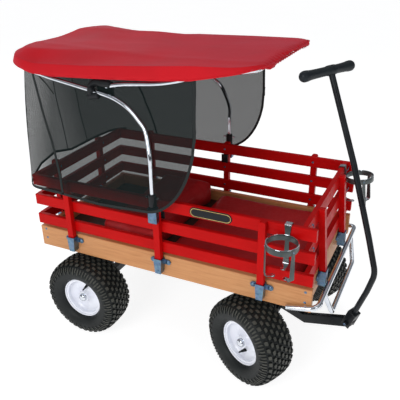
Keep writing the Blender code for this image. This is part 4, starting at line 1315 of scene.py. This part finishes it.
def curtain_plan(s, flare):
    """Plan position at s from -1, near front edge, to 1, far front edge."""
    sign = 1 if s >= 0 else -1
    half, back, corner, front = curtain_shape(flare, sign)
    side_run = front - back - corner
    arc_run = corner * math.pi / 2
    t = (1 - abs(s)) * curtain_length(flare, sign)
    if t < side_run:
        return (front - t, sign * half)
    if t < side_run + arc_run:
        angle = (t - side_run) / corner
        return (back + corner - corner * math.sin(angle), sign * (half - corner + corner * math.cos(angle)))
    return (back, sign * (half - corner - (t - side_run - arc_run)))


def curtain_foot(s):
    """Height of the lower edge: rounded front corners, arched across the back."""
    x, y = curtain_plan(s, 1.0)
    if x > -0.030:
        run = min((x + 0.030) / (curtain_shape(1.0, s)[3] + 0.030), 1.0)
        return 0.795 - 0.255 * math.sqrt(1 - run ** 2)
    if x < -0.46:
        return along(REAR_FOOT, y)
    return along(SIDE_FOOT, x)


def curtain_point(s, down, lift=0.0):
    """A point of the curtain: down 0 is under the hem, 1 the lower edge; lift moves it outwards."""
    top_x = curtain_plan(s, 0.0)[0]
    top = along(HEM, top_x) + 0.004
    z = top + (curtain_foot(s) - top) * down
    flare = curtain_flare(z)
    x, y = curtain_plan(s, flare)
    hang = math.sin(math.pi * min(down * 1.1, 1.0))
    rear = smoothstep((-0.26 - x) / 0.16)
    fold = 0.0060 * rear * hang * math.sin(s * 64 + 5 * down)
    fold += 0.0022 * hang * math.sin(s * 29 + 3.1 * down) * (1 - rear)
    before = Vector(curtain_plan(s - 0.004, flare))
    after = Vector(curtain_plan(s + 0.004, flare))
    run = (after - before).normalized()
    out = Vector((run.y, -run.x))
    if (Vector((x, y)) - Vector((-0.2, 0.0))).dot(out) < 0:
        out = -out
    place = Vector((x, y)) + out * (abs(fold) + lift)
    return at(place.x, place.y, z)


def side_route(sign, stations, start=0.0, end=1.0):
    """Points (s, down) of a seam on one side panel, given its station along the tray from top to bottom."""
    route = []
    for k in range(41):
        down = start + (end - start) * k / 40
        x = along(stations, down)
        flare = curtain_flare(0.91 - 0.37 * down)
        front = curtain_shape(flare, sign)[3]
        route.append((sign * (1 - (front - x) / curtain_length(flare, sign)), down))
    return route


CURTAIN_SPAN = 1.75         # length of the curtain round both sides and the back


def make_curtain():
    columns = 260
    rows = 44
    verts = []
    uvs = []
    for i in range(rows + 1):
        for j in range(columns + 1):
            s = 2 * j / columns - 1
            verts.append(curtain_point(s, i / rows))
            uvs.append((s * CURTAIN_SPAN / 2, verts[-1].z))
    faces = []
    for i in range(rows):
        for j in range(columns):
            a = i * (columns + 1) + j
            faces.append((a, a + 1, a + columns + 2, a + columns + 1))
    sheet = mesh_object("mesh_curtain_sheet", verts, faces, MESH)
    add_uvs(sheet, uvs)
    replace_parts(sheet, "mesh_curtain")
    tapes = [sheet_tape("curtain_tape_lower", [(2 * k / 240 - 1, 1.0) for k in range(241)], 0.0042)]
    for side, sign in SIDES:
        edge = [(sign * 0.9985, k / 40) for k in range(41)]
        tapes.append(sheet_tape(f"curtain_tape_front_{side}", edge, 0.0042))
        seam = side_route(sign, ((0.0, -0.4365), (0.25, -0.400), (0.55, -0.362), (0.85, -0.332),
                                 (1.0, -0.324)))
        tapes.append(sheet_tape(f"curtain_seam_{side}", seam, 0.0040))
        pleat = side_route(sign, ((0.0, -0.425), (0.10, -0.375), (0.16, -0.350)), 0.0, 0.16)
        tapes.append(sheet_tape(f"curtain_pleat_{side}", pleat, 0.0022))
        corner = [(sign * (0.055 + 0.010 * k / 40), k / 40) for k in range(41)]
        tapes.append(sheet_tape(f"curtain_back_seam_{side}", corner, 0.0014))
    top = sheet_tape("curtain_tape_upper", [(2 * k / 240 - 1, 0.012) for k in range(241)], 0.0045)
    tapes.append(top)
    for piece in [sheet] + tapes:
        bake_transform(piece)
    return sheet, tapes


def sheet_tape(name, route, half_width):
    """A binding tape along a route of (s, down) points, folded round both faces of the mesh."""
    centres = [curtain_point(s, down) for s, down in route]
    inner = [curtain_point(s, down, -0.0007) for s, down in route]
    outer = [curtain_point(s, down, 0.0007) for s, down in route]
    count = len(centres)
    verts = []
    for k in range(count):
        run = (centres[min(k + 1, count - 1)] - centres[max(k - 1, 0)]).normalized()
        depth = (outer[k] - inner[k]).normalized()
        wide = run.cross(depth).normalized() * half_width
        if name.endswith("upper"):
            wide = Vector((0, 0, half_width))
        verts += [inner[k] - wide, inner[k] + wide, outer[k] + wide, outer[k] - wide]
    faces = [(0, 1, 2, 3)]
    for k in range(count - 1):
        a = 4 * k
        for m in range(4):
            n = (m + 1) % 4
            faces.append((a + m, a + 4 + m, a + 4 + n, a + n))
    last = 4 * (count - 1)
    faces.append((last + 3, last + 2, last + 1, last))
    tape = mesh_object(name, verts, faces, TAPE)
    return tape


# ---------------------------------------------------------------- stage
def make_stage():
    scene = bpy.context.scene
    corners = [(-30, -30, -0.0006), (30, -30, -0.0006), (30, 30, -0.0006), (-30, 30, -0.0006)]
    floor = mesh_object("floor", corners, [(0, 1, 2, 3)], floor_material(), smooth=False)
    world = bpy.data.worlds.new("studio")
    scene.world = world
    world.use_nodes = True
    tree = world.node_tree
    coords = tree.nodes.new("ShaderNodeTexCoord")
    split = tree.nodes.new("ShaderNodeSeparateXYZ")
    ramp = tree.nodes.new("ShaderNodeValToRGB")
    tree.links.new(coords.outputs["Generated"], split.inputs[0])
    tree.links.new(split.outputs["Z"], ramp.inputs[0])
    tree.links.new(ramp.outputs[0], tree.nodes["Background"].inputs[0])
    ramp.color_ramp.elements[0].position = 0.0
    ramp.color_ramp.elements[0].color = (0.10, 0.11, 0.13, 1)
    ramp.color_ramp.elements[1].position = 0.75
    ramp.color_ramp.elements[1].color = (0.95, 0.97, 1.0, 1)
    tree.nodes["Background"].inputs[1].default_value = 0.42
    lights = (("key", (-0.3, -3.2, 2.1), (0.0, 0.0, 0.5), 1.6, 52.0),
              ("fill", (3.2, -1.6, 2.0), (0.1, 0, 0.5), 1.4, 12.0),
              ("top", (-0.2, 0.8, 3.4), (0, 0, 0.5), 2.4, 13.0),
              ("back", (-2.6, 2.4, 1.8), (0, 0, 0.6), 1.6, 9.0))
    for name, place, target, size, power in lights:
        data = bpy.data.lights.new(name, "AREA")
        data.shape = "SQUARE"
        data.size = size
        data.energy = power
        lamp = linked(name, data)
        lamp.location = place
        lamp.rotation_euler = (Vector(target) - Vector(place)).to_track_quat("-Z", "Y").to_euler()


def floor_material():
    m = Maker("floor_white")
    cloud = m.noise(2.0, 2)
    m.set(Base_Color=m.spread(cloud, (0.36, 0.36, 0.365), (0.38, 0.38, 0.385)), Roughness=0.7)
    m.set(Specular_IOR_Level=0.1)
    m.set(Emission_Color=(1.0, 1.0, 1.0, 1.0), Emission_Strength=0.86)
    return m.mat


def make_camera():
    """The photographed view: three-quarter front from the wagon's right, looking down on it."""
    yaw, pitch, roll = (math.radians(a) for a in (26.03, 25.97, -1.11))
    forward = Vector((-math.sin(yaw) * math.cos(pitch), math.cos(yaw) * math.cos(pitch), -math.sin(pitch)))
    level = Vector((math.cos(yaw), math.sin(yaw), 0))
    lift = level.cross(forward)
    right = level * math.cos(roll) + lift * math.sin(roll)
    up = lift * math.cos(roll) - level * math.sin(roll)
    data = bpy.data.cameras.new("camera")
    data.sensor_width = 36.0
    data.lens = 48.72
    camera = linked("camera", data)
    turn = Matrix((right, up, -forward)).transposed().to_4x4()
    camera.matrix_world = Matrix.Translation(at(0.74029, -1.49756, 1.26316)) @ turn
    bpy.context.scene.camera = camera


# ---------------------------------------------------------------- build
make_camera()
finish_cad_nodes()
make_wheels()
make_bows()
make_clamps()
make_bumper()
make_handle()
make_bracket_bolts()
make_screws()
make_axle_bolts()
make_cup_holders()
make_socket_clamps()
make_name_plate()
make_gate_hooks()
make_cushions()
canopy, hem_roll = make_canopy()
curtain, curtain_tapes = make_curtain()
make_stage()
bpy.context.scene.view_settings.view_transform = "Standard"
